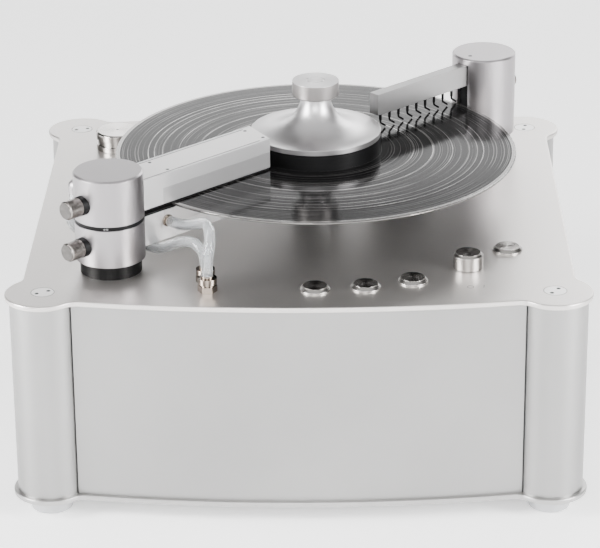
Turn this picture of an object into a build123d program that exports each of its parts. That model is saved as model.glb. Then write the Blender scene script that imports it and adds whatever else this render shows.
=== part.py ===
from build123d import *
from math import atan2, cos, degrees, radians, sin, sqrt, tan
import os

os.makedirs("parts", exist_ok=True)

# Record cleaning machine. Millimetres, +Z up, front towards -Y.
# Origin: on the floor, under the middle of the case.

# ---------------------------------------------------------------- driving dimensions

# Case
foot_height = 12.5
foot_top_radius = 16.75
foot_floor_radius = 15.0
foot_softening = 1.5
plate_thickness = 4.0
panel_height = 147.5
column_x = 180.0
column_y = 168.0
lobe_radius = 27.0
side_x = 196.3
crown_y = 197.6
crown_radius = 984.7
lobe_blend = 10.0
plate_softening = 1.0
body_inset = 3.0
panel_wall = 4.0
column_wall = 4.0
panel_seam = 0.8

# Tie rods with pin-spanner heads
tie_rod_radius = 4.0
tie_head_radius = 8.0
tie_head_depth = 2.5
spanner_hole_radius = 0.8
spanner_hole_offset = 4.6
spanner_hole_depth = 1.2
tie_rod_turns = (32.0, 18.0, 56.0, 79.0)
tie_rod_foot_depth = 6.0

# Fits
slip = 0.05
turn_gap = 0.1
seat_gap = 0.05
cord_gap = 0.4

# Record, spindle and drive
spindle_x = 11.5
spindle_y = 7.1
spindle_radius = 8.0
spindle_foot_drop = 78.0
pin_radius = 3.6
pin_rise = 16.0
record_radius = 150.8
record_thickness = 1.8
record_level = 40.2
record_edge_radius = 0.6
hub_radius = 49.0
hub_thickness = 8.0
hub_stem_radius = 18.0
hub_stem_lift = 3.0
housing_radius = 20.0
housing_collar = 1.5
housing_flange_radius = 42.0
housing_flange = 5.0
housing_length = 52.0
pulley_radius = 45.0
pulley_height = 12.0
pulley_lift = 2.0
groove_depth = 2.0
belt_width = 6.0
belt_thickness = 1.2
belt_gap = 0.3
motor_angle = -23.4
motor_distance = 96.0
motor_radius = 27.0
motor_flange_width = 66.0
motor_flange = 4.0
motor_clearance = 3.0
motor_shaft_radius = 3.0
motor_shaft_end_gap = 1.0
motor_pulley_radius = 10.0

# Record clamp
clamp_radius = 48.9
seal_height = 11.9
clamp_rim = 3.9
flare_step = 2.0
flare_width = 36.0
flare_height = 26.5
clamp_neck = 0.5
clamp_knob_radius = 17.5
clamp_knob_height = 11.7
clamp_knob_chamfer = 1.0
clamp_ring_radius = 6.6
clamp_ring_width = 0.6
clamp_ring_depth = 0.3
clamp_bore_spare = 2.0

# Towers
suction_x = -134.6
suction_y = -125.6
brush_x = 144.2
brush_y = 136.4
tower_radius = 25.0
tower_height = 75.5
tower_chamfer = 1.2
tower_ring_radius = 22.1
tower_ring_height = 10.3
spacer_radius = 24.5
spacer_level = 38.4
spacer_height = 3.1
post_radius = 9.0
brush_post_radius = 7.5
post_top_wall = 5.0
post_flange_radius = 14.0
post_flange = 6.0
post_tail = 10.0
feed_bore = 2.5

# Suction arms
arm_angle = 44.5
arm_width = 31.2
arm_height = 22.4
arm_root = 14.0
arm_clamp_gap = 6.0
arm_end_slant = 8.5
lip_height = 1.5
lip_gap = 0.1
lip_inset = 0.6
slit_width = 2.0
slit_start = 46.0
slit_end_wall = 6.0
channel_width = 13.0
channel_start = 32.0
channel_end_wall = 5.0
channel_floor = 5.0
lid_width = 26.0
lid_thickness = 2.0
lid_screw_radius = 1.0
lid_screw_inner = 47.2
lid_screw_end_gap = 1.5
lid_screw_offset = 9.7
lip_holder_height = 12.2
lip_holder_thickness = 1.5
lip_holder_start = 37.5
tenon_width = 12.0
tenon_height = 10.0
tenon_length = 17.0

# Thumb knobs on the towers
knob_turned_back = 181.5
thumb_knob_radius = 6.75
thumb_knob_reach = 40.5
thumb_knob_chamfer = 0.8
thumb_collar_radius = 7.0
thumb_collar_reach = 29.0
thumb_collar_seat = 22.0
thumb_stem_radius = 3.0
thumb_stem_gap = 1.5
upper_knob_level = 55.8
lower_knob_level = 24.3
brush_knob_level = 41.5
brush_knob_angle = 55.0

# Brush tower: slot, carrier, spray bars and nozzles
slot_width = 11.0
slot_floor = 10.5
slot_top = 70.5
carrier_front = 21.0
bar_width = 9.0
bar_height = 16.6
bar_record_gap = 11.7
bar_inner_end = 62.0
gallery_radius = 1.5
gallery_offset = 2.4
nozzle_count = 9
nozzle_first = 66.0
nozzle_pitch = 9.88
nozzle_offset = 3.0
sleeve_radius = 1.1
sleeve_length = 5.0
nozzle_radius = 0.8
nozzle_straight = 7.0
nozzle_kick = 5.2
nozzle_gap = 0.4
nozzle_bend = 1.6

# Controls
control_arc = 171.5
button_angles = (0.0, 12.0, 23.8, 54.4)
knob_arc_angle = 39.6
button_radius = 10.7
button_proud = 2.8
button_chamfer = 1.8
button_travel = 1.5
button_flange_radius = 12.4
button_flange = 2.0
plunger_radius = 3.0
plunger_length = 4.0
switch_size = 12.0
switch_height = 7.0
board_thickness = 1.6
board_left = -8.0
board_right = 168.0
board_front = -178.0
board_back = -82.0
board_notch_x = 140.0
board_notch_y = -132.0
standoff_spots = [(0, -90), (162, -118), (136, -172), (40, -125)]
power_knob_radius = 10.7
power_knob_height = 11.5
power_knob_chamfer = 1.5
power_knob_lift = 0.3
power_shaft_radius = 3.0
power_shaft_length = 12.0
rotary_radius = 10.0
standoff_radius = 3.0

# Fluid side
filler_x = -147.5
filler_y = 125.3
neck_radius = 13.0
neck_bore = 10.5
neck_rise = 9.0
cap_radius = 17.0
cap_height = 15.0
cap_waist = 1.2
cap_waist_low = 4.5
cap_waist_high = 9.0
cap_chamfer = 1.0
cap_top = 4.0
cap_lift = 0.2
tank_wall = 3.0
fluid_tank_width = 112.0
fluid_tank_depth = 106.0
fluid_tank_height = 112.0
fluid_tank_right = -60.0
fluid_tank_front = 32.0
pump_radius = 18.0
pump_height = 62.0
pump_lift = 14.0
pump_foot_step = 2.0
pipe_radius = 4.0
pipe_bore = 2.5
pipe_level = 45.0
fitting_hex_radius = 7.0
fitting_hex_height = 4.6
fitting_neck_radius = 5.4
fitting_ring_radius = 6.8
fitting_ring_low = 6.0
fitting_ring_high = 10.3
fitting_collar_radius = 4.6
fitting_height = 12.1
fitting_thread_radius = 4.5
fitting_tail = 14.0
fitting_bore = 2.5
lower_fitting = (-64.0, -166.5)
upper_fitting = (-66.0, -150.0)
waste_tank_left = -116.0
waste_tank_width = 96.0
waste_tank_front = -177.0
waste_tank_depth = 85.0
waste_tank_lift = 30.0
waste_tank_headroom = 8.0

# Vacuum turbine
turbine_x = -104.0
turbine_y = -34.0
turbine_radius = 46.0
turbine_height = 74.0
turbine_wall = 3.0
fan_radius = 40.0
fan_height = 14.0
fan_hub_radius = 9.0
fan_blades = 8
fan_blade_thickness = 2.0
fan_shaft_radius = 2.5
fan_shaft_end_gap = 1.0
duct_radius = 8.0
duct_bore = 6.0
duct_level = 60.0

# Power
supply_x = 90.0
supply_y = -120.0
supply_width = 100.0
supply_depth = 66.0
supply_height = 48.0
supply_chamfer = 1.0
inlet_x = 0.0
inlet_z = 58.0
inlet_width = 27.5
inlet_height = 20.0
inlet_flange_height = 28.0
inlet_flange = 2.0
inlet_depth = 24.0
inlet_wall = 1.5
inlet_pin = 2.0
inlet_pin_pitch = 7.0
inlet_pin_length = 16.0
inlet_screw_pitch = 40.0
inlet_screw_radius = 1.7
inlet_screw_edge = 4.0
inlet_flange_width = inlet_screw_pitch + 2 * inlet_screw_edge

# Hoses
hose_radius = 4.0
port_reach = 40.5
port_level = 30.5
port_flange_radius = 4.5
port_flange = 1.6
port_neck_radius = 3.6
port_neck = 2.4
port_stem_radius = 2.0
port_bore = 1.4
elbow_angle = 145.0
elbow_level = 57.0
elbow_radius = 4.6
elbow_reach = 31.5
elbow_drop = 5.6

# ---------------------------------------------------------------- derived levels and places

floor_z = foot_height + plate_thickness
ceiling_z = floor_z + panel_height
deck_z = ceiling_z + plate_thickness
record_z = deck_z + record_level
record_top_z = record_z + record_thickness
column_radius = lobe_radius - body_inset
half_arm = arm_width / 2
arm_span = sqrt((spindle_x - suction_x) ** 2 + (spindle_y - suction_y) ** 2)
arm_front_reach = arm_span - clamp_radius - arm_clamp_gap
arm_back_reach = arm_front_reach + arm_end_slant
lid_screw_outer = arm_front_reach - lid_screw_end_gap
corners = [(x, y) for x in (-column_x, column_x) for y in (-column_y, column_y)]
spindle_centre = (spindle_x, spindle_y)
suction_centre = (suction_x, suction_y)
brush_centre = (brush_x, brush_y)
turbine_centre = (turbine_x, turbine_y)
filler_centre = (filler_x, filler_y)
upper_face_z = record_top_z + lip_gap + lip_height
lower_face_z = record_z - lip_gap - lip_height
spindle_foot_z = deck_z - spindle_foot_drop


def polar(centre, angle, radius):
    """The point at that compass angle (degrees from +X) and radius from a centre."""
    return (
        centre[0] + radius * cos(radians(angle)),
        centre[1] + radius * sin(radians(angle)),
    )


def level(centre, height):
    """A horizontal plane at a height, with its origin over a centre."""
    return Plane(origin=(centre[0], centre[1], height))


def upright(centre):
    """A vertical plane through a centre: local x is the radius, local y is the height."""
    return Plane(origin=(centre[0], centre[1], 0), x_dir=(1, 0, 0), z_dir=(0, -1, 0))


def standing_axis(centre):
    return Axis((centre[0], centre[1], 0), (0, 0, 1))


def radial_plane(centre, angle, radius, height):
    """A plane that faces outwards from a tower's axis, at that angle, radius and height."""
    x, y = polar(centre, angle, radius)
    outwards = (cos(radians(angle)), sin(radians(angle)), 0)
    return Plane(origin=(x, y, height), x_dir=(0, 0, 1), z_dir=outwards)


def arm_plane(height):
    """Local x runs out along the suction arms, local y towards their back side."""
    along = (cos(radians(arm_angle)), sin(radians(arm_angle)), 0)
    return Plane(origin=(suction_x, suction_y, height), x_dir=along, z_dir=(0, 0, 1))


bar_angle = degrees(atan2(brush_y - spindle_y, brush_x - spindle_x))
tower_distance = sqrt((brush_x - spindle_x) ** 2 + (brush_y - spindle_y) ** 2)


def bar_plane(height):
    """Local x runs from the spindle out to the brush tower, local y towards the back."""
    along = (cos(radians(bar_angle)), sin(radians(bar_angle)), 0)
    return Plane(origin=(spindle_x, spindle_y, height), x_dir=along, z_dir=(0, 0, 1))


def bow_depth(radius, half_width):
    """How far an arc of that radius falls back over a half width."""
    return radius - sqrt(radius**2 - half_width**2)


def case_outline(inset, blend):
    """The case seen from above: four round lobes, straight sides, bowed front and back."""
    side = side_x - inset
    crown = crown_y - inset
    shoulder = crown - bow_depth(crown_radius - inset, column_x)
    with BuildSketch() as outline:
        with BuildLine():
            ThreePointArc((-column_x, -shoulder), (0, -crown), (column_x, -shoulder))
            Line((column_x, -shoulder), (side, -column_y))
            Line((side, -column_y), (side, column_y))
            Line((side, column_y), (column_x, shoulder))
            ThreePointArc((column_x, shoulder), (0, crown), (-column_x, shoulder))
            Line((-column_x, shoulder), (-side, column_y))
            Line((-side, column_y), (-side, -column_y))
            Line((-side, -column_y), (-column_x, -shoulder))
        make_face()
        with Locations(*corners):
            Circle(lobe_radius - inset)
        notches = outline.vertices().filter_by(lambda v: abs(v.X) < side + slip)
        fillet(notches, blend)
    return outline.sketch


def bowed_band(front):
    """The strip that a bowed panel fills: front is -1 for the front panel, 1 for the rear."""
    outer = crown_y - body_inset
    inner = outer - panel_wall
    outer_end = outer - bow_depth(crown_radius - body_inset, column_x)
    inner_end = inner - bow_depth(crown_radius - body_inset - panel_wall, column_x)
    with BuildSketch() as band:
        with BuildLine():
            ThreePointArc(
                (-column_x, front * outer_end), (0, front * outer), (column_x, front * outer_end)
            )
            Line((column_x, front * outer_end), (column_x, front * inner_end))
            ThreePointArc(
                (column_x, front * inner_end), (0, front * inner), (-column_x, front * inner_end)
            )
            Line((-column_x, front * inner_end), (-column_x, front * outer_end))
        make_face()
        with Locations(*corners):
            Circle(column_radius + panel_seam, mode=Mode.SUBTRACT)
    return band.sketch


def control_spot(angle):
    """A place on the arc of controls round the spindle; 0 degrees is straight to the front."""
    return polar(spindle_centre, angle - 90, control_arc)


# ---------------------------------------------------------------- case

with BuildPart() as feet:
    for corner in corners:
        with BuildSketch(upright(corner)):
            with BuildLine():
                Polyline(
                    (0, 0), (foot_floor_radius, 0), (foot_top_radius, foot_height), (0, foot_height)
                )
                Line((0, foot_height), (0, 0))
            make_face()
        revolve(axis=standing_axis(corner))
    fillet(feet.faces().filter_by(Axis.Z).group_by(Axis.Z)[0].edges(), foot_softening)
    with Locations(*[(x, y, foot_height) for x, y in corners]):
        Hole(tie_rod_radius + slip, depth=tie_rod_foot_depth)
feet.part.label = "feet"
export_step(feet.part, "parts/feet.step")

with BuildPart() as bottom_plate:
    with BuildSketch(Plane.XY.offset(foot_height)):
        add(case_outline(0, lobe_blend))
    extrude(amount=plate_thickness)
    fillet(bottom_plate.faces().sort_by(Axis.Z)[0].outer_wire().edges(), plate_softening)
    fillet(bottom_plate.faces().sort_by(Axis.Z)[-1].outer_wire().edges(), plate_softening)
    with Locations(*[(x, y, floor_z) for x, y in corners]):
        Hole(tie_rod_radius + slip)
bottom_plate.part.label = "bottom_plate"
export_step(bottom_plate.part, "parts/bottom_plate.step")

with BuildPart() as corner_columns:
    with BuildSketch(Plane.XY.offset(floor_z)):
        with Locations(*corners):
            Circle(column_radius)
            Circle(column_radius - column_wall, mode=Mode.SUBTRACT)
    extrude(amount=panel_height)
corner_columns.part.label = "corner_columns"
export_step(corner_columns.part, "parts/corner_columns.step")

with BuildPart() as front_panel:
    with BuildSketch(Plane.XY.offset(floor_z)):
        add(bowed_band(-1))
    extrude(amount=panel_height)
front_panel.part.label = "front_panel"
export_step(front_panel.part, "parts/front_panel.step")


def rear_face(x):
    """Where the rear panel's outer face stands at that x."""
    return crown_y - body_inset - bow_depth(crown_radius - body_inset, x)


inlet_seat_y = rear_face(inlet_x + inlet_flange_width / 2)
inlet_plane = Plane(origin=(inlet_x, inlet_seat_y, inlet_z), x_dir=(-1, 0, 0), z_dir=(0, 1, 0))
inlet_screws = [(-inlet_screw_pitch / 2, 0), (inlet_screw_pitch / 2, 0)]

with BuildPart() as rear_panel:
    with BuildSketch(Plane.XY.offset(floor_z)):
        add(bowed_band(1))
    extrude(amount=panel_height)
    with BuildSketch(inlet_plane.offset(-inlet_flange)):
        Rectangle(inlet_flange_width + slip, inlet_flange_height + slip)
    extrude(amount=crown_y, mode=Mode.SUBTRACT)
    with BuildSketch(inlet_plane):
        Rectangle(inlet_width + slip, inlet_height + slip)
    extrude(amount=-inlet_depth, mode=Mode.SUBTRACT)
rear_panel.part.label = "rear_panel"
export_step(rear_panel.part, "parts/rear_panel.step")

with BuildPart() as side_panels:
    with BuildSketch(Plane.XY.offset(floor_z)):
        for side in (-1, 1):
            with Locations((side * (side_x - body_inset - panel_wall / 2), 0)):
                Rectangle(panel_wall, 2 * column_y)
        with Locations(*corners):
            Circle(column_radius + panel_seam, mode=Mode.SUBTRACT)
    extrude(amount=panel_height)
side_panels.part.label = "side_panels"
export_step(side_panels.part, "parts/side_panels.step")

with BuildPart() as tie_rods:
    for (x, y), turn in zip(corners, tie_rod_turns):
        with BuildSketch(level((x, y), foot_height - tie_rod_foot_depth)):
            Circle(tie_rod_radius)
        extrude(amount=deck_z - tie_head_depth - foot_height + tie_rod_foot_depth)
        with BuildSketch(level((x, y), deck_z - tie_head_depth)):
            Circle(tie_head_radius)
        extrude(amount=tie_head_depth)
        holes = [polar((x, y), angle, spanner_hole_offset) for angle in (turn, turn + 180)]
        with Locations(*[(hx, hy, deck_z) for hx, hy in holes]):
            Hole(spanner_hole_radius, depth=spanner_hole_depth)
tie_rods.part.label = "tie_rods"
export_step(tie_rods.part, "parts/tie_rods.step")

button_spots = [control_spot(angle) for angle in button_angles]
knob_spot = control_spot(knob_arc_angle)

with BuildPart() as top_plate:
    with BuildSketch(Plane.XY.offset(ceiling_z)):
        add(case_outline(0, lobe_blend))
    extrude(amount=plate_thickness)
    fillet(top_plate.faces().sort_by(Axis.Z)[-1].outer_wire().edges(), plate_softening)
    fillet(top_plate.faces().sort_by(Axis.Z)[0].outer_wire().edges(), plate_softening)
    with BuildSketch(Plane.XY.offset(ceiling_z)):
        with Locations(*corners):
            Circle(tie_rod_radius + slip)
        with Locations(spindle_centre):
            Circle(housing_radius + slip)
        with Locations(suction_centre):
            Circle(post_radius + slip)
        with Locations(brush_centre):
            Circle(brush_post_radius + slip)
        with Locations(*button_spots):
            Circle(button_radius + slip)
        with Locations(knob_spot):
            Circle(power_shaft_radius + slip)
        with Locations(filler_centre):
            Circle(neck_radius + slip)
        with Locations(lower_fitting, upper_fitting):
            Circle(fitting_thread_radius + slip)
    extrude(amount=plate_thickness, mode=Mode.SUBTRACT)
    with BuildSketch(Plane.XY.offset(deck_z - tie_head_depth)):
        with Locations(*corners):
            Circle(tie_head_radius + slip)
    extrude(amount=tie_head_depth, mode=Mode.SUBTRACT)
top_plate.part.label = "top_plate"
export_step(top_plate.part, "parts/top_plate.step")

# ---------------------------------------------------------------- spindle, drive and record

housing_foot_z = ceiling_z - housing_length
pulley_top_z = housing_foot_z - pulley_lift

with BuildPart() as spindle_housing:
    with BuildSketch(level(spindle_centre, housing_foot_z)):
        Circle(housing_radius)
    extrude(amount=deck_z + housing_collar - housing_foot_z)
    with BuildSketch(level(spindle_centre, ceiling_z - housing_flange)):
        Circle(housing_flange_radius)
    extrude(amount=housing_flange)
    with BuildSketch(level(spindle_centre, housing_foot_z)):
        Circle(spindle_radius + slip)
    extrude(amount=deck_z + housing_collar - housing_foot_z, mode=Mode.SUBTRACT)
spindle_housing.part.label = "spindle_housing"
export_step(spindle_housing.part, "parts/spindle_housing.step")

with BuildPart() as spindle:
    with BuildSketch(level(spindle_centre, pulley_top_z - pulley_height)):
        Circle(spindle_radius)
    extrude(amount=record_z - pulley_top_z + pulley_height)
    with BuildSketch(level(spindle_centre, record_z)):
        Circle(pin_radius)
    extrude(amount=record_thickness + pin_rise)
    chamfer(spindle.faces().sort_by(Axis.Z)[-1].edges(), pin_radius / 4)
spindle.part.label = "spindle"
export_step(spindle.part, "parts/spindle.step")


def belt_pulley(centre, radius, bore):
    """A pulley with one flat-bottomed groove at belt height, and a bore where it has a shaft."""
    middle = pulley_top_z - pulley_height / 2
    with BuildPart() as piece:
        with BuildSketch(level(centre, pulley_top_z - pulley_height)):
            Circle(radius)
        extrude(amount=pulley_height)
        with BuildSketch(level(centre, middle - belt_width / 2 - belt_gap)):
            Circle(radius + groove_depth)
            Circle(radius - groove_depth, mode=Mode.SUBTRACT)
        extrude(amount=belt_width + 2 * belt_gap, mode=Mode.SUBTRACT)
        with BuildSketch(level(centre, pulley_top_z - pulley_height)):
            Circle(bore)
        extrude(amount=pulley_height, mode=Mode.SUBTRACT)
    return piece


platter_pulley = belt_pulley(spindle_centre, pulley_radius, spindle_radius + seat_gap)
platter_pulley.part.label = "platter_pulley"
export_step(platter_pulley.part, "parts/platter_pulley.step")

motor_centre = polar(spindle_centre, motor_angle, motor_distance)
motor_top_z = pulley_top_z - pulley_height - motor_clearance

with BuildPart() as drive_motor:
    with BuildSketch(level(motor_centre, floor_z)):
        RectangleRounded(motor_flange_width, motor_flange_width, motor_flange)
    extrude(amount=motor_flange)
    with BuildSketch(level(motor_centre, floor_z)):
        Circle(motor_radius)
    extrude(amount=motor_top_z - floor_z)
    fillet(drive_motor.faces().sort_by(Axis.Z)[-1].edges(), motor_flange / 2)
    with BuildSketch(level(motor_centre, motor_top_z - motor_radius)):
        Circle(motor_shaft_radius + slip)
    extrude(amount=motor_radius, mode=Mode.SUBTRACT)
drive_motor.part.label = "drive_motor"
export_step(drive_motor.part, "parts/drive_motor.step")

with BuildPart() as motor_pulley:
    add(belt_pulley(motor_centre, motor_pulley_radius, motor_shaft_radius).part)
    with BuildSketch(level(motor_centre, motor_top_z - motor_radius + motor_shaft_end_gap)):
        Circle(motor_shaft_radius)
    extrude(amount=pulley_top_z - motor_top_z + motor_radius - motor_shaft_end_gap)
motor_pulley.part.label = "motor_pulley"
export_step(motor_pulley.part, "parts/motor_pulley.step")

belt_inner_large = pulley_radius - groove_depth + belt_gap
belt_inner_small = motor_pulley_radius - groove_depth + belt_gap
belt_plane = Plane(
    origin=(spindle_x, spindle_y, pulley_top_z - pulley_height / 2 - belt_width / 2),
    x_dir=(cos(radians(motor_angle)), sin(radians(motor_angle)), 0),
    z_dir=(0, 0, 1),
)


def belt_loop(growth):
    """The filled outline of the belt, grown outwards by that much."""
    large = belt_inner_large + growth
    small = belt_inner_small + growth
    lean = (large - small) / motor_distance
    rise = sqrt(1 - lean**2)
    with BuildSketch() as loop:
        Circle(large)
        with Locations((motor_distance, 0)):
            Circle(small)
        Polygon(
            (large * lean, large * rise),
            (large * lean, -large * rise),
            (motor_distance + small * lean, -small * rise),
            (motor_distance + small * lean, small * rise),
            align=None,
        )
    return loop.sketch


with BuildPart() as drive_belt:
    with BuildSketch(belt_plane):
        add(belt_loop(belt_thickness))
        add(belt_loop(0), mode=Mode.SUBTRACT)
    extrude(amount=belt_width)
drive_belt.part.label = "drive_belt"
export_step(drive_belt.part, "parts/drive_belt.step")

with BuildPart() as label_hub:
    with BuildSketch(level(spindle_centre, deck_z + hub_stem_lift)):
        Circle(hub_stem_radius)
    extrude(amount=record_level - hub_thickness - hub_stem_lift)
    with BuildSketch(level(spindle_centre, record_z - hub_thickness)):
        Circle(hub_radius)
    extrude(amount=hub_thickness)
    with BuildSketch(level(spindle_centre, deck_z + hub_stem_lift)):
        Circle(spindle_radius + seat_gap)
    extrude(amount=record_level - hub_stem_lift, mode=Mode.SUBTRACT)
label_hub.part.label = "label_hub"
export_step(label_hub.part, "parts/label_hub.step")

with BuildPart() as record:
    with BuildSketch(level(spindle_centre, record_z)):
        Circle(record_radius)
        Circle(pin_radius + seat_gap, mode=Mode.SUBTRACT)
    extrude(amount=record_thickness)
    fillet(record.edges().filter_by(GeomType.CIRCLE).sort_by(SortBy.RADIUS)[-2:], record_edge_radius)
record.part.label = "record"
export_step(record.part, "parts/record.step")

# ---------------------------------------------------------------- record clamp

clamp_z = record_top_z + seal_height
flare_foot_z = clamp_z + clamp_rim
flare_top_z = flare_foot_z + flare_height
clamp_knob_z = flare_top_z + clamp_neck
flare_outer = clamp_radius - flare_step
clamp_neck_radius = flare_outer - flare_width
clamp_top_z = clamp_knob_z + clamp_knob_height
clamp_bore_top = record_top_z + pin_rise + clamp_bore_spare

with BuildPart() as clamp_seal:
    with BuildSketch(level(spindle_centre, record_top_z)):
        Circle(clamp_radius)
        Circle(pin_radius + slip, mode=Mode.SUBTRACT)
    extrude(amount=seal_height)
clamp_seal.part.label = "clamp_seal"
export_step(clamp_seal.part, "parts/clamp_seal.step")

with BuildPart() as record_clamp:
    with BuildSketch(upright(spindle_centre)):
        with BuildLine():
            Polyline(
                (pin_radius + slip, clamp_z),
                (clamp_radius, clamp_z),
                (clamp_radius, flare_foot_z),
                (flare_outer, flare_foot_z),
            )
            EllipticalCenterArc(
                (flare_outer, flare_top_z), flare_width, flare_height, start_angle=180, arc_size=90
            )
            Polyline(
                (clamp_neck_radius, flare_top_z),
                (clamp_neck_radius, clamp_knob_z),
                (clamp_knob_radius - clamp_knob_chamfer, clamp_knob_z),
                (clamp_knob_radius, clamp_knob_z + clamp_knob_chamfer),
                (clamp_knob_radius, clamp_top_z),
                (0, clamp_top_z),
                (0, clamp_bore_top),
                (pin_radius + slip, clamp_bore_top),
                (pin_radius + slip, clamp_z),
            )
        make_face()
    revolve(axis=standing_axis(spindle_centre))
    with BuildSketch(level(spindle_centre, clamp_top_z)):
        Circle(clamp_ring_radius + clamp_ring_width / 2)
        Circle(clamp_ring_radius - clamp_ring_width / 2, mode=Mode.SUBTRACT)
    extrude(amount=-clamp_ring_depth, mode=Mode.SUBTRACT)
record_clamp.part.label = "record_clamp"
export_step(record_clamp.part, "parts/record_clamp.step")

# ---------------------------------------------------------------- tower rings and posts

spacer_z = deck_z + spacer_level
tower_top_z = deck_z + tower_height
post_top_z = tower_top_z - post_top_wall

with BuildPart() as tower_rings:
    with BuildSketch(Plane.XY.offset(deck_z)):
        with Locations(suction_centre):
            Circle(tower_ring_radius)
            Circle(post_radius + slip, mode=Mode.SUBTRACT)
        with Locations(brush_centre):
            Circle(tower_ring_radius)
            Circle(brush_post_radius + slip, mode=Mode.SUBTRACT)
    extrude(amount=tower_ring_height)
    with BuildSketch(level(suction_centre, spacer_z + turn_gap)):
        Circle(spacer_radius)
        Circle(post_radius + slip, mode=Mode.SUBTRACT)
    extrude(amount=spacer_height - 2 * turn_gap)
tower_rings.part.label = "tower_rings"
export_step(tower_rings.part, "parts/tower_rings.step")

with BuildPart() as tower_posts:
    for centre, radius in ((suction_centre, post_radius), (brush_centre, brush_post_radius)):
        with BuildSketch(level(centre, ceiling_z - post_flange - post_tail)):
            Circle(radius)
        extrude(amount=post_top_z - ceiling_z + post_flange + post_tail)
        with BuildSketch(level(centre, ceiling_z - post_flange)):
            RegularPolygon(post_flange_radius, 6)
        extrude(amount=post_flange)
    with BuildSketch(level(brush_centre, ceiling_z - post_flange - post_tail)):
        Circle(pipe_radius + slip)
    extrude(amount=post_tail, mode=Mode.SUBTRACT)
    with BuildSketch(level(brush_centre, ceiling_z - post_flange)):
        Circle(feed_bore)
    extrude(amount=tower_ring_height + plate_thickness + post_flange + slot_floor,
            mode=Mode.SUBTRACT)
tower_posts.part.label = "tower_posts"
export_step(tower_posts.part, "parts/tower_posts.step")

# ---------------------------------------------------------------- suction arms


def arm_end(side):
    """How far the arm reaches at that sideways place; its end is cut oblique."""
    return arm_front_reach + (side + half_arm) / arm_width * (arm_back_reach - arm_front_reach)


def arm_strip(start, near, far, end_wall):
    """Corners of a strip along the arm, from start to that wall before the oblique end."""
    return [
        (start, near),
        (arm_end(near) - end_wall, near),
        (arm_end(far) - end_wall, far),
        (start, far),
    ]


lid_screws = [
    (reach, side) for reach in (lid_screw_inner, lid_screw_outer)
    for side in (-lid_screw_offset, lid_screw_offset)
]


port_level_plane = arm_plane(deck_z + port_level)
port_mouth = half_arm + port_flange + port_neck
port_face = Plane(
    origin=port_level_plane.from_local_coords((port_reach, -half_arm, 0)),
    x_dir=(0, 0, 1),
    z_dir=port_level_plane.from_local_coords((0, -1, 0)) - port_level_plane.origin,
)


def port_hole(depth):
    """The hole that the hose port's stem plugs into, from the arm's front face inwards."""
    with BuildSketch(port_face) as mouth:
        Circle(port_stem_radius + seat_gap)
    extrude(mouth.sketch, amount=-depth, mode=Mode.SUBTRACT)


def suction_arm(face_z, away, has_port):
    """The hollow arm. face_z is its face next to the record, away points from the record."""
    holder_edge = half_arm - lip_holder_thickness
    outer_z = face_z + away * arm_height
    tenon_z = face_z + away * (arm_height - tenon_height) / 2
    with BuildPart() as piece:
        with BuildSketch(arm_plane(face_z)):
            Polygon(*arm_strip(arm_root, -half_arm, half_arm, 0), align=None)
            Circle(tower_radius + seat_gap, mode=Mode.SUBTRACT)
        extrude(amount=away * arm_height)
        with BuildSketch(arm_plane(outer_z)):
            Polygon(*arm_strip(arm_root, -lid_width / 2, lid_width / 2, 0), align=None)
        extrude(amount=-away * lid_thickness, mode=Mode.SUBTRACT)
        with BuildSketch(arm_plane(outer_z)):
            half_channel = channel_width / 2
            channel = arm_strip(channel_start, -half_channel, half_channel, channel_end_wall)
            Polygon(*channel, align=None)
        extrude(amount=-away * (arm_height - channel_floor), mode=Mode.SUBTRACT)
        with BuildSketch(arm_plane(face_z)):
            half_slit = slit_width / 2
            Polygon(*arm_strip(slit_start, -half_slit, half_slit, slit_end_wall), align=None)
        extrude(amount=away * channel_floor, mode=Mode.SUBTRACT)
        with BuildSketch(arm_plane(face_z)):
            Polygon(*arm_strip(lip_holder_start, holder_edge, half_arm, 0), align=None)
            Polygon(*arm_strip(lip_holder_start, -half_arm, -holder_edge, 0), align=None)
        extrude(amount=away * lip_holder_height, mode=Mode.SUBTRACT)
        with BuildSketch(arm_plane(outer_z)):
            with Locations(*lid_screws):
                Circle(lid_screw_radius)
        extrude(amount=-away * arm_height / 2, mode=Mode.SUBTRACT)
        with BuildSketch(arm_plane(tenon_z)):
            with Locations((arm_root, 0)):
                Rectangle(tenon_length, tenon_width, align=(Align.MIN, Align.CENTER))
        extrude(amount=away * tenon_height)
        if has_port:
            port_hole(half_arm - channel_width / 2)
    return piece


def arm_lid(face_z, away):
    with BuildPart() as piece:
        with BuildSketch(arm_plane(face_z + away * arm_height)):
            half_lid = lid_width / 2 - seat_gap
            Polygon(*arm_strip(arm_root, -half_lid, half_lid, 0), align=None)
            Circle(tower_radius + seat_gap, mode=Mode.SUBTRACT)
            with Locations(*lid_screws):
                Circle(lid_screw_radius + slip, mode=Mode.SUBTRACT)
        extrude(amount=-away * lid_thickness)
    return piece


def lip_holders(face_z, away, has_port):
    """Two side plates that clamp the lips, let into the arm's long sides."""
    inner = half_arm - lip_holder_thickness + seat_gap
    start = lip_holder_start + seat_gap
    with BuildPart() as piece:
        with BuildSketch(arm_plane(face_z)):
            Polygon(*arm_strip(start, inner, half_arm, 0), align=None)
            Polygon(*arm_strip(start, -half_arm, -inner, 0), align=None)
        extrude(amount=away * (lip_holder_height - seat_gap))
        if has_port:
            port_hole(lip_holder_thickness)
    return piece


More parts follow.
